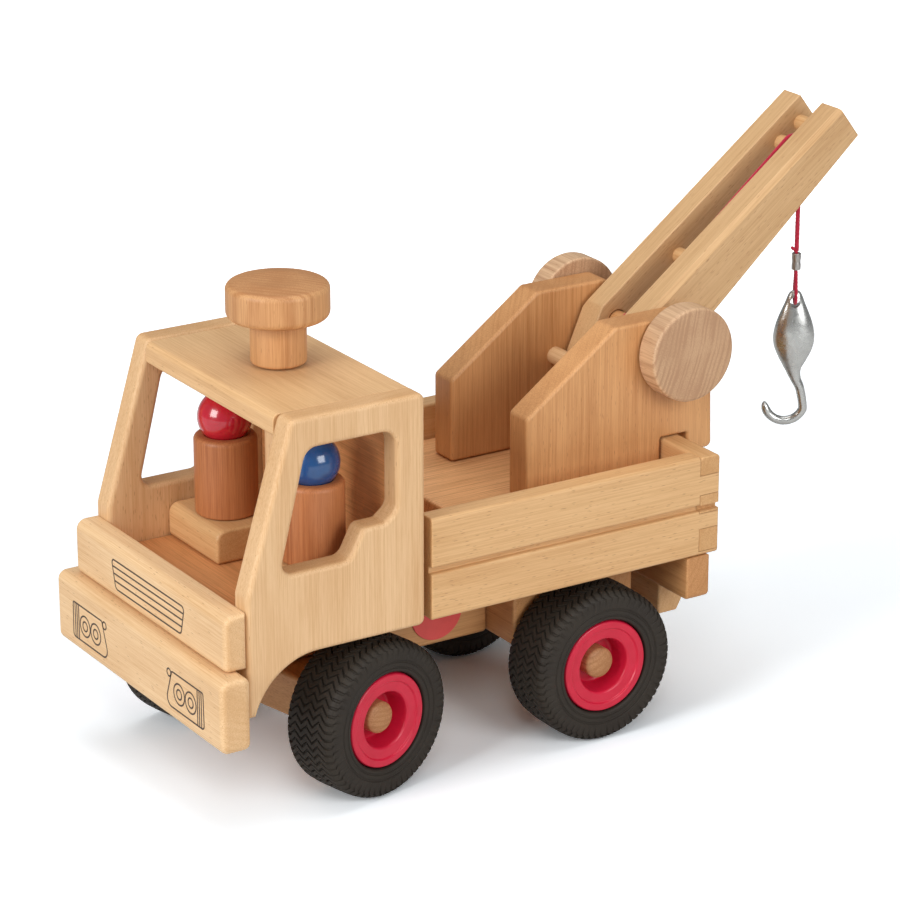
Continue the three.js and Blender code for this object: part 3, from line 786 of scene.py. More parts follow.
@dataclass
class Cab:
    """The open cab: side panels, roof, floor, rear wall, seats, grille, bumper and the lines printed on them.

    Panel and window corners are measured from the panel's lowest front corner, as (back, up, radius).
    """

    panel_edge: float = 2.3
    panel: tuple[Corner, ...] = (
        (23.3, 135.6, 4), (91.7, 135.6, 3.5), (91.7, 24.8, 3.5), (11.7, 24.8, 34), (4, 0), (0, 0), (0, 57.2, 6),
    )
    window: tuple[Corner, ...] = (
        (17.3, 64.2, 5), (31.4, 120.8, 7), (76.8, 120.8, 7), (76.8, 83.2, 6), (70.4, 78.2, 3),
        (59.4, 78.2, 4), (52.2, 64.2, 6),
    )
    grille_edge: float = 2.6
    bumper_edge: float = 2.8
    grille_top: float = 35.0
    grille_foot: float = 31.5
    lamp_lines: Corner = (57.6, 59.4, 61.2)
    lamp_rings: Corner = (5.0, 2.3)
    line: float = 0.8
    ink: float = 0.06
    pale: Beech = replace(PALE, grain=Grain.UPRIGHT)
    cross: Beech = replace(PALE, grain=Grain.ACROSS, ring_width=4.2, light=(0.82, 0.53, 0.27))
    front: Beech = replace(
        PALE, name="front", grain=Grain.ACROSS, light=(0.87, 0.61, 0.35), dark=(0.66, 0.39, 0.18)
    )
    inside: Beech = replace(WARM, name="inside", grain=Grain.ACROSS, light=(0.84, 0.40, 0.165))
    seat: Beech = replace(BOARD, name="seat", grain=Grain.ACROSS)

    def build(self) -> None:
        """Makes every piece of the cab."""
        for name, _ in SIDES:
            low, high = low_high(f"cab_panel_{name}")
            outline = rounded(shifted(self.panel, low[1:]))
            window = rounded(shifted(self.window, low[1:]))
            surface = board(outline, (low[0], high[0]), Axis.X, self.panel_edge, [window])
            stand_in(f"cab_panel_{name}", surface, self.pale)
        self.build_boards()
        self.build_prints()

    def build_boards(self) -> None:
        """Makes the boards that run from one side panel to the other."""
        column_low, column_high = low_high("steering_column")
        column = (column_low + column_high) / 2
        bore = np.array([(-200, 0), (-200, WELL_RADIUS), (400, WELL_RADIUS), (400, 0)], float)
        well = lathe(bore, (column[0], column[1], 0), (0, 0, 1))
        low, high = low_high("roof_board")
        roof = rounded([(low[1], low[2], 2), (high[1], low[2]), (high[1], high[2], 2), (low[1], high[2], 3)])
        stand_in("roof_board", board(roof, (low[0], high[0]), Axis.X, 0.4), self.cross, well)
        stand_in("cab_floor", cuboid(*low_high("cab_floor"), 0.6), self.inside, well)
        stand_in("cab_rear_wall", cuboid(*low_high("cab_rear_wall"), 0.6), self.inside)
        stand_in("bumper_carrier", cuboid(*low_high("bumper_carrier"), 0.8), self.inside)
        for name, _ in SIDES:
            low, high = low_high(f"seat_{name}")
            seat = rounded([(low[1], low[2], 2), (high[1], low[2]), (high[1], high[2]), (low[1], high[2], 5)])
            stand_in(f"seat_{name}", board(seat, (low[0], high[0]), Axis.X, 1.6), self.seat)
        for node, front, back, edge in (
            ("grille_board", (2.9, 5.0), (0, 0), self.grille_edge),
            ("bumper_board", (4.0, 4.5), (3.3, 3.3), self.bumper_edge),
        ):
            low, high = low_high(node)
            section = rounded([
                (low[1], low[2], front[0]), (high[1], low[2], back[0]),
                (high[1], high[2], back[1]), (low[1], high[2], front[1]),
            ])
            stand_in(node, board(section, (low[0], high[0]), Axis.X, edge), self.front)

    def stroke(self, loop: Points, front: float) -> Surface:
        """A printed line along a closed loop on a face that looks forward: the ring between two insets."""
        loop = loop if turning(loop) > 0 else loop[::-1]
        half = self.line / 2
        return board(inset(loop, -half), (front - self.ink, front - 0.01), Axis.Y, 0, [inset(loop, half)])

    def bar(self, start: Corner, end: Corner, front: float) -> Surface:
        """A printed straight line between two points of a face that looks forward."""
        a, b = np.array(start, float), np.array(end, float)
        side = np.array([a[1] - b[1], b[0] - a[0]]) / np.linalg.norm(b - a) * self.line / 2
        corners = np.array([a + side, a - side, b - side, b + side])
        return board(corners, (front - self.ink, front - 0.01), Axis.Y, 0)

    def build_prints(self) -> None:
        """Prints the grille's bars and the two lamp clusters."""
        low, _ = low_high("grille_board")
        front, foot, top = low[1], low[2] + 5, low[2] + 19
        wide, narrow = self.grille_top, self.grille_foot
        frame_line = [(-narrow, foot, 2.5), (narrow, foot, 2.5), (wide, top, 2), (-wide, top, 2)]
        grille = self.stroke(rounded(frame_line), front)
        for part in (0.27, 0.52, 0.76):
            half = narrow + (wide - narrow) * part - self.line / 2
            height = foot + (top - foot) * part
            grille += self.bar((-half, height), (half, height), front)
        self.printed("grille_print", grille, "grille_board")

        low, _ = low_high("bumper_board")
        front, foot, top = low[1], low[2] + 6.8, low[2] + 24.3
        for name, side in SIDES:
            corners = [(63.5, foot, 2), (63.0, top, 1), (34, top, 1), (27.5, foot, 4)]
            lamps = self.stroke(rounded([(side * x, z, r) for x, z, r in corners]), front)
            for x in self.lamp_lines:
                lamps += self.bar((side * x, foot + 0.4), (side * x, top - 0.4), front)
            for x in (51.3, 40.6):
                for radius in self.lamp_rings:
                    lamps += self.stroke(circle(side * x, low[2] + 15.3, radius), front)
            lamps += self.stroke(circle(side * 31.4, top - 1.4, 1.8, 24), front)
            self.printed(f"lamp_print_{name}", lamps, "bumper_board")

    def printed(self, name: str, surface: Surface, board_node: str) -> None:
        """Makes a print that rides with the board it is on."""
        piece = new_piece(name, surface, INK.material(name))
        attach(piece, BODY_OF[board_node])
        log.info("%s: %d faces", piece.name, len(piece.data.polygons))


# ------------------------------------------------------------------ figures and steering


@dataclass
class PegFigure:
    """A peg figure: a turned body with a dished top, and a lacquered ball for its head."""

    name: str
    paint: Moulded
    wood: Beech = replace(DEEP, grain=Grain.UPRIGHT)
    rim: float = 2.6
    sides: int = 72

    def build(self) -> None:
        """Makes the body and the head."""
        low, high = low_high(f"{self.name}_body")
        head_low, head_high = low_high(f"{self.name}_head")
        centre, radius = (low + high) / 2, (high[0] - low[0]) / 2
        head = (head_high[2] - head_low[2]) / 2
        dish = head + 0.3
        height = head_low[2] + head
        lip = math.sqrt(dish**2 - (height - high[2]) ** 2)
        profile = rounded(
            [(low[2], 0), (low[2], radius, 1.2), (high[2], radius, self.rim), (high[2], lip)], closed=False
        )
        hollow = np.linspace(1, 0, 9)[1:] * lip
        profile = np.vstack([profile, np.stack([height - np.sqrt(dish**2 - hollow**2), hollow], 1)])
        body = lathe(profile, (centre[0], centre[1], 0), (0, 0, 1), self.sides)
        stand_in(f"{self.name}_body", body, self.wood)
        angle = np.linspace(-math.pi / 2, math.pi / 2, 33)
        ball = np.stack([height + head * np.sin(angle), np.clip(head * np.cos(angle), 0, None)], 1)
        ball[[0, -1], 1] = 0
        stand_in(f"{self.name}_head", lathe(ball, (centre[0], centre[1], 0), (0, 0, 1), self.sides), self.paint)


@dataclass
class Steering:
    """The knob on the roof, its column and the block of the front axle."""

    neck: float = 12.9
    cap: float = 23.7
    block_deep: float = 19.0
    block_half: float = 43.0
    knob: Beech = replace(
        WARM, name="knob", grain=Grain.UPRIGHT, light=(0.69, 0.38, 0.17), dark=(0.46, 0.205, 0.075),
        ring_width=3.2, rings=0.55, pith=(34.0, 12.0),
    )
    wood: Beech = replace(WARM, grain=Grain.ACROSS)

    def build(self) -> None:
        """Makes the three pieces."""
        low, high = low_high("steering_knob")
        centre = (low + high) / 2
        rise = high[2] - low[2]
        profile = rounded(
            [
                (0, 0), (0, self.neck, 1.6), (rise - 17.9, self.neck, 1.2), (rise - 17.2, self.cap, 3.4),
                (rise - 1.4, self.cap, 3.0), (rise, self.cap * 0.55, 20), (rise, 0),
            ],
            closed=False,
        )
        knob = lathe(profile, (centre[0], centre[1], low[2]), (0, 0, 1), 96)
        stand_in("steering_knob", knob, self.knob)
        low, high = low_high("steering_column")
        column = rounded([(low[2], 0), (low[2], high[0], 1), (high[2], high[0], 1), (high[2], 0)], closed=False)
        turned = lathe(column, (centre[0], centre[1], 0), (0, 0, 1))
        stand_in("steering_column", turned, replace(PALE, grain=Grain.UPRIGHT))
        self.build_block()

    def build_block(self) -> None:
        """Makes the axle block: a rounded section carried along the turned axle, with the axle's bore."""
        spin = JOINTS["front_wheel_spin"]
        along = np.array(spin["axis"], float)
        centre = pivot("front_wheel_spin")
        low, high = low_high("front_axle_block")
        deep, half = self.block_deep, self.block_half
        section = rounded([(-deep, low[2], 2), (deep, low[2], 2), (deep, high[2], 2), (-deep, high[2], 2)])
        block = board(section, (-half, half), Axis.X, 1.2, [circle(0, centre[2], AXLE_BORE)])
        x, y, z = block.points.T
        across = np.array([-along[1], along[0], 0])
        points = x[:, None] * along + y[:, None] * across + np.array([centre[0], centre[1], 0])
        points[:, 2] = z
        stand_in("front_axle_block", Surface(points, block.faces).outward(), self.wood)


# ------------------------------------------------------------------ wheels


@dataclass
class WheelSet:
    """One axle with two tyres, two rims and two hub caps.

    Sizes along the axle are measured from the truck's middle, outwards.
    """

    end: str
    radius: float = 37.6
    inner: float = 43.7
    outer: float = 73.5
    bore: float = 23.0
    pitches: int = 60
    columns: int = 6
    zigzag: float = 0.42
    groove: float = 1.0
    shoulder: float = 4.0
    axle_end: float = 60.2
    axle_radius: float = 3.0
    cap_radius: float = 7.5
    dome_from: float = 66.9
    dome_height: float = 3.3
    cap_wood: Beech = replace(END, grain=Grain.ACROSS, light=(0.64, 0.35, 0.165), dark=(0.40, 0.18, 0.07))

    def build(self) -> None:
        """Makes the axle and both wheels."""
        spin = JOINTS[f"{self.end}_wheel_spin"]
        centre, axis = np.array(spin["pos_m"]) / MM, np.array(spin["axis"], float)
        end, thick = self.axle_end, self.axle_radius
        rod = rounded([(-end, 0), (-end, thick, 0.5), (end, thick, 0.5), (end, 0)], closed=False)
        stand_in(f"{self.end}_axle", lathe(rod, centre, axis, 32), STEEL)
        for name, side in SIDES:
            out = axis * side
            stand_in(f"{self.end}_tyre_{name}", self.tyre(centre, out), RUBBER, crease=30)
            stand_in(f"{self.end}_rim_{name}", self.rim(centre, out), RED_PLASTIC)
            stand_in(f"{self.end}_hub_cap_{name}", self.cap(centre, out), self.cap_wood)

    def tyre(self, centre: Points, out: Points) -> Surface:
        """The tyre: its section carried round the axle and pressed in by the tread.

        Round the wheel, each pitch has a flat rib and a groove with sloping sides. The grid's lines follow the
        grooves: the turn of a point is u + zigzag * triangle(x / column), so that a groove runs as a zigzag across
        the tread. The groove is full on the tread, half as deep on the shoulder, and ends on the side wall,
        and every second one reaches further.
        """
        cut = np.array([(0.0, 0.0), (0.56, 0.0), (0.66, 1.0), (0.86, 1.0), (0.96, 0.0)])
        steps = (np.arange(self.pitches)[:, None] + cut[None, :, 0]).ravel()
        press = np.tile(cut[:, 1], self.pitches)
        long = np.repeat(np.arange(self.pitches) % 2, len(cut))
        top = self.radius
        tread = np.linspace(self.inner + self.shoulder, self.outer - self.shoulder, 8 * self.columns + 1)
        crown = np.stack([tread, top - 0.35 * ((tread - tread.mean()) / (tread[-1] - tread.mean())) ** 4], 1)
        arc = np.linspace(0, math.pi / 2, 7)[1:]
        round_out = np.stack([
            tread[-1] + self.shoulder * np.sin(arc), top - 0.35 - self.shoulder * (1 - np.cos(arc))
        ], 1)
        wall = np.array([
            (self.outer, 31.6), (self.outer, 30.2), (self.outer, 29.0), (self.outer - 0.45, 28.6),
            (self.outer - 0.45, 28.0), (self.outer - 0.1, 27.6), (self.outer - 0.1, 26.0), (self.outer - 0.5, 25.7),
            (self.outer - 0.5, 25.2), (self.outer - 0.2, 24.9), (self.outer - 0.3, 24.0),
            (self.outer - 0.8, 23.4), (self.outer - 2.0, self.bore), (self.outer - 4.0, self.bore),
        ])
        middle = (self.inner + self.outer) / 2
        half = np.vstack([crown[crown[:, 0] >= middle - 1e-6], round_out, wall])
        mirrored = half[::-1] * (-1, 1) + (2 * middle, 0)
        section = np.vstack([mirrored, half[1:]])
        x, r = section.T
        across = np.clip((x - tread[0]) / (tread[-1] - tread[0]), 0, 1) * self.columns
        wave = np.abs((across + 1) % 2 - 1)
        lean = self.zigzag * 2 * (wave - 0.5) * (r > top - 3)
        on_tread = np.clip((r - (top - self.shoulder)) / self.shoulder, 0, 1) ** 0.5
        reach = np.clip((r - (top - 7.5)) / 3.5, 0, 1) * 0.45
        depth = self.groove * np.where(r > top - self.shoulder, np.maximum(on_tread, reach), reach)
        far = np.clip((r - (top - 8.5)) / 4.5, 0, 1) * 0.55 * self.groove
        deep = np.where(long[None] == 1, np.maximum(depth, far)[:, None], depth[:, None]) * press[None]
        angle = (steps[None] + lean[:, None]) * 2 * math.pi / self.pitches
        slope = np.gradient(section, axis=0)
        normal = np.stack([slope[:, 1], -slope[:, 0]], 1)
        normal /= np.maximum(np.linalg.norm(normal, axis=1, keepdims=True), 1e-9)
        normal *= np.sign((normal * (section - (middle, 30.0))).sum(1, keepdims=True))
        along = x[:, None] - deep * normal[:, :1]
        radius = r[:, None] - deep * normal[:, 1:]
        first, second, axis = frame_of(out, (0, 0, 1))
        points = (
            centre
            + along[..., None] * axis
            + radius[..., None] * (np.cos(angle)[..., None] * first + np.sin(angle)[..., None] * second)
        )
        rows, columns = radius.shape
        return Surface(points.reshape(-1, 3), grid_faces(rows, columns, wrap_rows=True)).outward()

    def rim(self, centre: Points, out: Points) -> Surface:
        """The rim: a flat outer flange, a step, a flat ring and a deep recess round the hub cap."""
        face = self.outer - 0.9
        profile = rounded([
            (self.inner + 1, 3.3, 0.4), (self.inner + 1, 22.7, 0.8), (face - 2.2, 22.7, 0.3), (face, 22.2, 0.9),
            (face, 18.9, 0.5), (face - 0.9, 18.4, 0.4), (face - 1.1, 13.4, 1.3), (60.5, 11.8, 1.4),
            (60.5, 3.3, 0.4),
        ])
        return lathe(profile, centre, out, 96, ring=True)

    def cap(self, centre: Points, out: Points) -> Surface:
        """The hub cap: a short dowel with a domed end, radius * (cos t, sin t) over the last stretch."""
        t = np.linspace(0, math.pi / 2, 12)
        wide = self.cap_radius
        dome = np.stack([self.dome_from + self.dome_height * np.sin(t), wide * np.cos(t)], 1)
        dome[-1, 1] = 0
        profile = np.vstack([[(60.8, 0), (60.8, 7.2), (61.1, wide), (66.7, wide)], dome])
        return lathe(profile, centre, out, 64)


# ------------------------------------------------------------------ chassis and bed


@dataclass
class Chassis:
    """The beam, the axle blocks and the boards under the bed, with the round badge."""

    wood: Beech = replace(WARM, grain=Grain.LENGTHWISE)
    cross: Beech = replace(WARM, grain=Grain.ACROSS)
    edge: float = 1.4

    def build(self) -> None:
        """Makes every piece of the chassis."""
        low, high = low_high("chassis_beam")
        front, step = low[2] + 9.2, low[1] + 58
        beam = rounded([
            (high[1], low[2], 2), (high[1], high[2]), (low[1], high[2]), (low[1], front, 2), (step, front, 1),
            (step, low[2], 2),
        ])
        centre = sum(low_high("steering_column")) / 2
        bore = np.array([(0, 0), (0, WELL_RADIUS), (200, WELL_RADIUS), (200, 0)], float)
        well = lathe(bore, (centre[0], centre[1], 0), (0, 0, 1))
        stand_in("chassis_beam", board(beam, (low[0], high[0]), Axis.X, self.edge), self.wood, well)
        stand_in("rear_axle_block", cuboid(*low_high("rear_axle_block"), self.edge), self.cross)
        low, high = low_high("rear_axle_bar")
        bar = rounded([(low[1], low[2], 2), (high[1], low[2], 2), (high[1], high[2]), (low[1], high[2])])
        bore = circle(*pivot("rear_wheel_spin")[1:], AXLE_BORE)
        stand_in("rear_axle_bar", board(bar, (low[0], high[0]), Axis.X, self.edge, [bore]), self.cross)
        low, high = low_high("rear_board")
        rear = rounded([(low[0], low[2], 3), (high[0], low[2], 3), (high[0], high[2]), (low[0], high[2])])
        stand_in("rear_board", board(rear, (low[1], high[1]), Axis.Y, self.edge), self.cross)
        low, high = low_high("tail_block")
        tail = rounded([
            (low[1], low[2]), (high[1] - 3, low[2], 1.5), (high[1], low[2] + 5.5, 1.5), (high[1], high[2]),
            (low[1], high[2]),
        ])
        stand_in("tail_block", board(tail, (low[0], high[0]), Axis.X, 1.2), replace(PALE, grain=Grain.ACROSS))
        low, high = low_high("round_badge")
        middle, radius = (low + high) / 2, (high[2] - low[2]) / 2
        thin = high[0] - low[0]
        disc = rounded([(0, 0), (0, radius, 0.1), (thin, radius, 0.2), (thin, 0)], closed=False)
        stand_in("round_badge", lathe(disc, (low[0], middle[1], middle[2]), (1, 0, 0), 72), FILM)


@dataclass
class Bed:
    """The bed: two grooved side boards and a tailboard with finger joints, round a plain floor."""

    board: float = 11.0
    edge: float = 1.8
    groove_low: float = 22.3
    groove_high: float = 25.3
    groove_depth: float = 3.0
    fingers: tuple[Corner, ...] = ((2.3, 13.3), (21.3, 30.3), (40.3, 52.0))
    gap: float = 0.3
    wood: Beech = replace(BOARD, grain=Grain.LENGTHWISE, ring_width=4.0)
    cross: Beech = replace(BOARD, grain=Grain.ACROSS)

    def build(self) -> None:
        """Makes the side boards, the tailboard and the floor."""
        rear = low_high("tailboard")[0][1]
        for name, side in SIDES:
            low, high = low_high(f"side_board_{name}")
            outer, inner = (high[0], low[0]) if side > 0 else (low[0], high[0])
            depth = outer - side * self.groove_depth
            section = rounded([
                (inner, low[2], self.edge), (outer, low[2], self.edge), (outer, low[2] + self.groove_low, 1.2),
                (depth, low[2] + self.groove_low, 0.5), (depth, low[2] + self.groove_high, 0.5),
                (outer, low[2] + self.groove_high, 1.2), (outer, high[2], self.edge), (inner, high[2], self.edge),
            ])
            notches = [
                cuboid(
                    (low[0] - 2, rear - self.gap, low[2] + a - self.gap),
                    (high[0] + 2, high[1] + 2, low[2] + b + self.gap),
                    0,
                )
                for a, b in self.fingers
            ]
            surface = board(section, (low[1], high[1]), Axis.Y, 0.8)
            stand_in(f"side_board_{name}", surface, self.wood, *notches)
        self.build_tailboard()
        stand_in("bed_floor", cuboid(*low_high("bed_floor"), 0.6), replace(WARM, grain=Grain.LENGTHWISE))

    def build_tailboard(self) -> None:
        """Makes the tailboard: a rounded section carried across the bed, less the side boards' fingers."""
        low, high = low_high("tailboard")
        section = rounded([
            (low[1], low[2], self.edge), (high[1], low[2], self.edge), (high[1], high[2], self.edge),
            (low[1], high[2], self.edge),
        ])
        tops = [0.0, *(b for _, b in self.fingers)]
        cutters = []
        for side in (-1, 1):
            ends = sorted((side * (high[0] + 2), side * (high[0] - self.board - self.gap)))
            for under, (over, _) in zip(tops, self.fingers):
                foot = low[2] + under - (2 if under == 0 else 0)
                cutters.append(cuboid((ends[0], low[1] - 2, foot), (ends[1], high[1] + 2, low[2] + over), 0))
            slot = sorted((side * (high[0] + 2), side * (high[0] - self.groove_depth)))
            grooved = (low[2] + self.groove_low, low[2] + self.groove_high)
            cutters.append(cuboid((slot[0], low[1] - 2, grooved[0]), (slot[1], high[1] + 2, grooved[1]), 0))
        stand_in("tailboard", board(section, (low[0], high[0]), Axis.X, 0.8), self.cross, *cutters)


# ------------------------------------------------------------------ crane


@dataclass
class Crane:
    """The insert in the bed: a base plate, two cheeks and the crossbar that the boom rests on.

    Cheek corners are measured from the winch axle, as (back, up, radius).
    """

    cheek: tuple[Corner, ...] = (
        (-84.5, -61.2, 2), (-84.5, -20, 3), (-35.5, 16, 3), (4, 16, 6), (20, 5, 12), (21.7, -53.5, 3),
        (7.1, -53.5, 2), (7.1, -43.6, 1), (-8.4, -43.6, 1), (-8.4, -61.2, 2),
    )
    axle_hole: float = 5.4
    edge: float = 1.6
    left: Beech = replace(
        PALE, name="cheek", grain=Grain.UPRIGHT, light=(0.74, 0.40, 0.17), dark=(0.50, 0.225, 0.08)
    )
    right: Beech = replace(WARM, grain=Grain.UPRIGHT)
    plate: Beech = replace(WARM, name="plate", grain=Grain.LENGTHWISE, light=(0.93, 0.52, 0.24))

    def build(self) -> None:
        """Makes the four pieces."""
        winch = pivot("winch_turn")[1:]
        stand_in("base_plate", cuboid(*low_high("base_plate"), 1.8), self.plate)
        for name, side in SIDES:
            low, high = low_high(f"cheek_{name}")
            surface = board(
                rounded(shifted(self.cheek, winch)), (low[0], high[0]), Axis.X, self.edge,
                [circle(*winch, self.axle_hole)],
            )
            stand_in(f"cheek_{name}", surface, self.left if side > 0 else self.right)
        reach = low_high("cheek_left")[0][0] + 0.2
        stand_in("crossbar", cross_dowel("crossbar", reach), replace(PALE, grain=Grain.ACROSS))


def cross_dowel(node: str, reach: float) -> Surface:
    """A dowel that crosses the truck where a CAD dowel lies, reaching just into what holds it."""
    low, high = low_high(node)
    centre, radius = (low + high) / 2, (high[2] - low[2]) / 2
    profile = rounded([(-reach, 0), (-reach, radius, 0.3), (reach, radius, 0.3), (reach, 0)], closed=False)
    return lathe(profile, centre, (1, 0, 0), 48)


@dataclass
class Boom:
    """Two rails on the winch axle, joined by three dowels. Rail corners are measured from the winch axle."""

    rail: tuple[Corner, ...] = (
        (106.5, 97.4, 1), (-9.1, 8.6, 2), (-20.4, -17.6, 2), (-21.8, -23.5, 3), (-13.5, -34.8, 5), (118, 82.4),
    )
    chamfer: float = 2.4
    plane_reach: float = 220.0
    axle_hole: float = 5.4
    wood: Beech = replace(
        PALE, name="rail", grain=Grain.BOOM, ring_width=3.8, light=(0.68, 0.44, 0.225), dark=(0.50, 0.28, 0.12)
    )
    dowel_wood: Beech = replace(BOARD, name="dowel", grain=Grain.ACROSS)

    def build(self) -> None:
        """Makes the rails and the dowels."""
        winch = pivot("winch_turn")[1:]
        top, heel = np.array(self.rail[0][:2]) + winch, np.array(self.rail[1][:2]) + winch
        along = np.append(0, (top - heel) / np.linalg.norm(top - heel))
        for name, side in SIDES:
            low, high = low_high(f"boom_rail_{name}")
            hole = circle(*winch, self.axle_hole)
            outline = rounded(shifted(self.rail, winch))
            surface = board(outline, (low[0], high[0]), Axis.X, 0.7, [hole])
            outer = high[0] if side > 0 else low[0]
            plane = self.plane(np.array([outer, *top]), along)
            stand_in(f"boom_rail_{name}", surface, self.wood, plane)
        reach = low_high("boom_rail_left")[0][0] + 0.2
        for node in ("boom_tip_dowel", "boom_guide_dowel", "boom_middle_dowel"):
            stand_in(node, cross_dowel(node, reach), self.dowel_wood)

    def plane(self, corner: Points, along: Points) -> Surface:
        """The square bar that planes off a rail's upper outer edge: it stands on its corner, along the edge."""
        across = np.array([1.0, 0, 0])
        up = np.cross(across, along)
        reach = self.plane_reach
        corners = [corner + self.chamfer * w for w in (across, up, -across, -up)]
        points = np.array([p + along * end for end in (-reach, reach) for p in corners])
        faces = [[0, 1, 2, 3], [7, 6, 5, 4], *([i, (i + 1) % 4, (i + 1) % 4 + 4, i + 4] for i in range(4))]
        return Surface(points, faces).outward()


@dataclass
class Winch:
    """The axle through cheeks and boom, a turned disc on each end, and the cord wound on its middle."""

    axle: float = 5.0
    disc: float = 22.9
    disc_low: float = 41.2
    disc_high: float = 54.0
    turns: int = 4
    winding_span: Corner = (0.6, 6.8)
    reach: float = 7.5
    wood: Beech = replace(END, grain=Grain.ACROSS)

    def build(self) -> None:
        """Makes the axle, the discs and the winding."""
        centre = pivot("winch_turn")
        reach = self.disc_low + self.reach
        rod = rounded(
            [(-reach, 0), (-reach, self.axle, 0.5), (reach, self.axle, 0.5), (reach, 0)], closed=False
        )
        stand_in("winch_axle", lathe(rod, centre, (1, 0, 0), 48), replace(WARM, grain=Grain.ACROSS))
        profile = rounded(
            [
                (self.disc_low + 8, 0), (self.disc_low + 8, self.axle + 0.3), (self.disc_low, self.axle + 0.3, 0.5),
                (self.disc_low, self.disc, 1.2), (self.disc_high, self.disc, 1.6), (self.disc_high, 0),
            ],
            closed=False,
        )
        for name, side in SIDES:
            stand_in(f"winch_disc_{name}", lathe(profile, centre, (side, 0, 0), 96), self.wood)
        stand_in("cord_winding", self.winding(centre), CORD)

    def winding(self, centre: Points) -> Surface:
        """The wound cord: a helix, x even along the axle and (y, z) = radius * (cos, sin) of the turn."""
        turn = np.linspace(0, 2 * math.pi * self.turns, 40 * self.turns)
        radius = self.axle + 1.2
        x = np.linspace(*self.winding_span, len(turn))
        path = centre + np.stack([x, radius * np.cos(turn), radius * np.sin(turn)], 1)
        return twisted_cord(path, (1, 0, 0), 0.95, sides=12)


# ------------------------------------------------------------------ cord and hook


@dataclass
class HoistCord:
    """The red cord: along the boom, over the guide dowel and down to the hook."""

    radius: float = 1.2
    wrap_from: float = 125.0
    wrap_to: float = -33.0
    aside: float = 6.8

    def hanging(self) -> bpy.types.Object:
        """The free stretch between the guide dowel and the ferrule, straight down."""
        low, high = low_high("hanging_cord")
        x, y = (low + high)[:2] / 2
        height = np.linspace(high[2], low[2], 55)
        path = np.stack([np.full_like(height, x), np.full_like(height, y), height], 1)
        piece = stand_in("hanging_cord", twisted_cord(path, (1, 0, 0), self.radius), CORD)
        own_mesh(piece)
        self.hanging_path = path
        return piece

    def build(self) -> None:
        """Makes the stretch along the boom: straight from the winding, then an arc round the guide dowel."""
        low, high = low_high("boom_guide_dowel")
        guide = (low + high)[1:] / 2
        reach = (high[2] - low[2]) / 2 + 1.3
        winch = pivot("winch_turn")[1:]
        turn = np.radians(np.linspace(self.wrap_from, self.wrap_to, 40))
        arc = guide + reach * np.stack([np.cos(turn), np.sin(turn)], 1)
        start = winch + np.array([-4.2, 5.4])
        aside = np.append(self.aside, np.zeros(len(arc)))
        path = evenly(np.column_stack([aside, np.vstack([start, arc])]), 0.7)
        stand_in("boom_cord", twisted_cord(path, (1, 0, 0), self.radius), CORD)


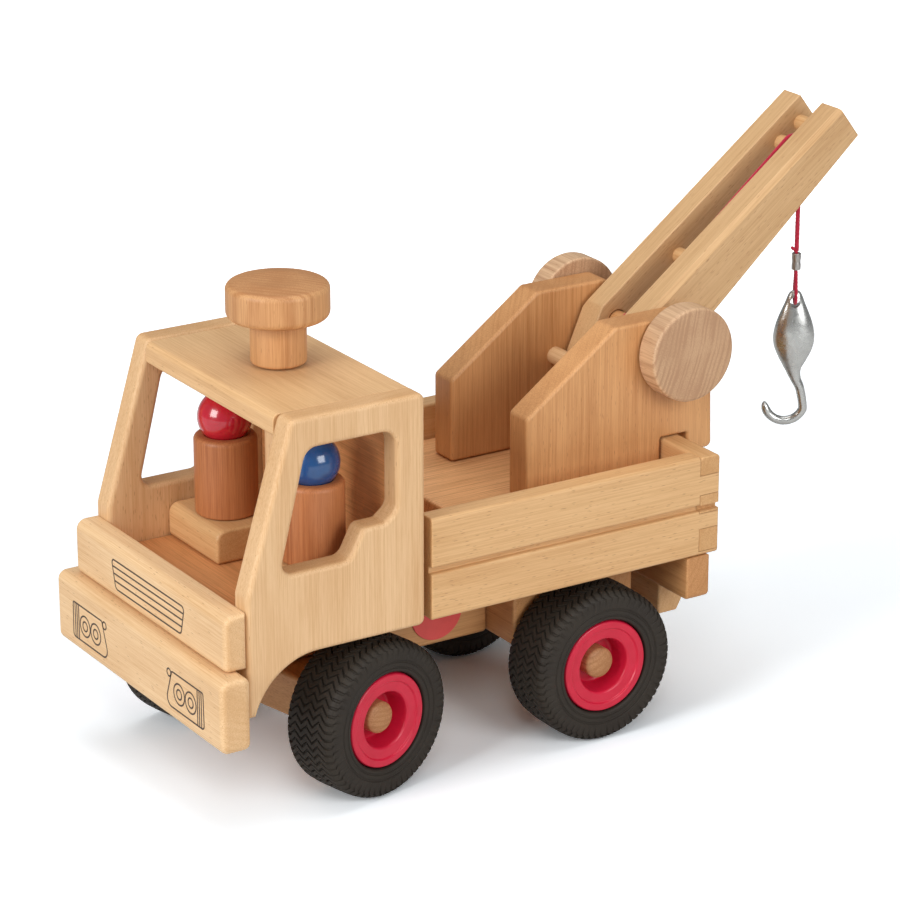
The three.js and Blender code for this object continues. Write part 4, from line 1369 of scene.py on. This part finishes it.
@dataclass
class Hook:
    """The ferrule, the cord's loop and the cast hook, in a plane turned about the cord.

    Hook rows are (sideways, height, half width, half thickness) down the casting, from its top to the wire.
    """

    turn: float = math.radians(57.7)
    eye: float = 170.0
    bend: Corner = (-3.6, 117.3, 9.9)
    wire: float = 2.2
    rows: tuple[Corner, ...] = (
        (0, 175.6, 0.5, 0.3), (0, 175.3, 1.8, 1.1), (0, 174.2, 3.0, 1.9), (0, 172, 4.0, 2.5), (0, 169, 5.1, 2.9),
        (0, 165, 6.8, 3.9), (0, 158, 9.3, 5.2), (0, 151.5, 10.3, 5.8), (0, 146, 9.5, 5.5), (0, 140, 6.9, 4.4),
        (0.3, 134.5, 4.0, 3.0), (1.6, 129.6, 2.7, 2.5), (3.8, 124.6, 2.3, 2.3),
    )

    def placed(self, local: Points) -> Points:
        """Points (across, thickness, height) turned into the hook's plane under the guide dowel."""
        low, high = low_high("ferrule")
        x, y = (low + high)[:2] / 2
        c, s = math.cos(self.turn), math.sin(self.turn)
        a, b, z = local.T
        return np.stack([x + a * c - b * s, y + a * s + b * c, z], 1)

    def build(self) -> list[bpy.types.Object]:
        """Makes the hook and what is on the cord's end, and returns the latter: ferrule, loop and cut end."""
        across = self.placed(np.array([(0.0, 1, 0)]))[0] - self.placed(np.array([(0.0, 0, 0)]))[0]
        sideways = np.array([math.cos(self.turn), math.sin(self.turn), 0])
        low, high = low_high("ferrule")
        centre = ((low + high)[0] / 2, (low + high)[1] / 2, 0)
        tube = rounded([
            (low[2], 0.9, 0.2), (low[2], 2.3, 0.4), (low[2] + 2.6, 2.3, 1), (low[2] + 4.2, 2.08, 1),
            (low[2] + 5.8, 2.3, 1), (high[2], 2.3, 0.4), (high[2], 0.9, 0.2),
        ])
        ferrule = stand_in("ferrule", lathe(tube, centre, (0, 0, 1), 48, ring=True), STEEL)

        foot = self.eye - 0.4
        half = [(1.1, low[2] - 0.2), (2.2, 182.0), (4.3, 176.0), (4.3, foot + 1.5)]
        corners = [(0, y, z) for y, z in half] + [(0, 0, foot - 0.6)] + [(0, -y, z) for y, z in reversed(half)]
        path = self.placed(smooth_path(corners, 0.5))
        loop = stand_in("cord_loop", twisted_cord(path, sideways, 0.9), CORD)

        shank = np.array(self.rows, float)
        angle = np.radians(np.linspace(-22, -180, 24))
        x, z, radius = self.bend
        arc = np.stack([x + radius * np.cos(angle), z + radius * np.sin(angle)], 1)
        width = np.full((len(arc), 2), self.wire)
        width[-4:] *= np.array([0.95, 0.85, 0.65, 0.3])[:, None]
        rows = smooth_path(np.vstack([shank, np.column_stack([arc, width])]), 0.6)
        path = self.placed(np.column_stack([rows[:, 0], np.zeros(len(rows)), rows[:, 1]]))
        ones = np.ones((1, 32))
        casting = sweep(path, across, np.abs(rows[:, 2:3]) * ones, np.abs(rows[:, 3:4]) * ones)
        bore = np.array([(-10, 0), (-10, 2.6), (10, 2.6), (10, 0)], float)
        eye = lathe(bore, self.placed(np.array([(0, 0, self.eye)]))[0], across, 32)
        stand_in("hook", casting, CAST, eye)

        bent = [(0.3, 0, high[2] - 0.8), (-0.9, 0, high[2] + 1.6), (-2.9, 0, high[2] + 2.9)]
        end = self.placed(smooth_path(bent, 0.4))
        stub = new_piece("cord_cut_end", twisted_cord(end, across, 0.9), CORD.material("stub"))
        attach(stub, BODY_OF["ferrule"])
        return [ferrule, loop, stub]


# ------------------------------------------------------------------ studio


@dataclass
class Studio:
    """The camera, a white floor, a white surround and large soft lamps."""

    place: Corner = (1.3501, -0.87865, 0.7150)
    target: Corner = (-0.0001, -0.02485, 0.1312)
    lens: float = 144.7
    floor: float = 4.0
    lamps: tuple[tuple, ...] = (
        ("front", (0.35, -2.15, 1.05), 1.1, 33, (1, 0.99, 0.975)),
        ("side", (2.2, 0.35, 1.05), 1.2, 25),
        ("near", (1.5, -0.95, 1.5), 0.5, 5),
        ("top", (-0.2, 0.1, 2.2), 1.6, 18),
    )

    def camera(self) -> None:
        """Makes the camera, three quarters from the front left."""
        data = bpy.data.cameras.new("camera")
        data.lens, data.sensor_width = self.lens, 36.0
        data.shift_x, data.shift_y = -0.0011, -0.0008
        camera = bpy.data.objects.new("camera", data)
        bpy.context.scene.collection.objects.link(camera)
        camera.location = self.place
        aim = Vector(self.target) - Vector(self.place)
        camera.rotation_euler = aim.to_track_quat("-Z", "Y").to_euler()
        data.clip_start, data.clip_end = 0.05, 50
        bpy.context.scene.camera = camera

    def lamp(self, name: str, place: Corner, size: float, power: float, colour: Corner = (1, 1, 1)) -> None:
        """A square area lamp that faces the toy."""
        data = bpy.data.lights.new(name, "AREA")
        data.shape, data.size, data.energy, data.color = "SQUARE", size, power, colour
        lamp = bpy.data.objects.new(name, data)
        bpy.context.scene.collection.objects.link(lamp)
        lamp.location = place
        lamp.rotation_euler = (Vector((0, 0, 0.1)) - Vector(place)).to_track_quat("-Z", "Y").to_euler()

    def build(self) -> None:
        """Makes the floor, the surround and the lamps."""
        across = np.linspace(-self.floor, self.floor, 9)
        grid = np.stack(np.meshgrid(across, across), -1).reshape(-1, 2)
        rows = np.arange(8)[:, None] * 9 + np.arange(8)[None]
        faces = np.stack([rows, rows + 1, rows + 10, rows + 9], -1).reshape(-1, 4).tolist()
        mesh = bpy.data.meshes.new("floor")
        mesh.from_pydata(np.column_stack([grid, np.zeros(len(grid))]).tolist(), [], faces)
        floor = bpy.data.objects.new("floor", mesh)
        bpy.context.scene.collection.objects.link(floor)
        material, net, shader = new_material("floor")
        direct = net.add("ShaderNodeLightPath").outputs["Is Camera Ray"]
        away = net.vector("LENGTH", net.add("ShaderNodeTexCoord").outputs["Object"], output=1)
        white = net.mix(net.ramp(away, 0.3, 1.6), (1.27, 1.33, 1.38), (3.5, 3.5, 3.5))
        paint = net.add("ShaderNodeBsdfDiffuse", {"Color": net.mix(direct, (0.7, 0.7, 0.7), white)})
        net.set(material.node_tree.nodes["Material Output"].inputs["Surface"], paint.outputs[0])
        material.node_tree.nodes.remove(shader)
        mesh.materials.append(material)

        world = bpy.data.worlds.new("surround")
        bpy.context.scene.world = world
        world.use_nodes = True
        net = Net(world.node_tree)
        seen = net.add("ShaderNodeLightPath").outputs["Is Camera Ray"]
        background = world.node_tree.nodes["Background"]
        background.inputs["Color"].default_value = (1, 1, 1, 1)
        net.set(background.inputs["Strength"], net.math("MULTIPLY_ADD", seen, 0.85, 0.25))
        for lamp in self.lamps:
            self.lamp(*lamp)
        bpy.context.scene.view_settings.view_transform = "Standard"


def main() -> None:
    """Builds the camera and the cords first, then every other piece."""
    studio = Studio()
    studio.camera()
    cord = HoistCord()
    hanging = cord.hanging()
    cord.build()
    fittings = Hook().build()
    for part in (
        Cab(), PegFigure("driver", BLUE_PAINT), PegFigure("passenger", RED_PAINT), Steering(), WheelSet("front"),
        WheelSet("rear"), Chassis(), Bed(), Crane(), Boom(), Winch(),
    ):
        log.info("building %s", type(part).__name__)
        part.build()
    studio.build()


if __name__ == "__main__":
    logging.basicConfig(level=logging.INFO, format="%(message)s")
    main()
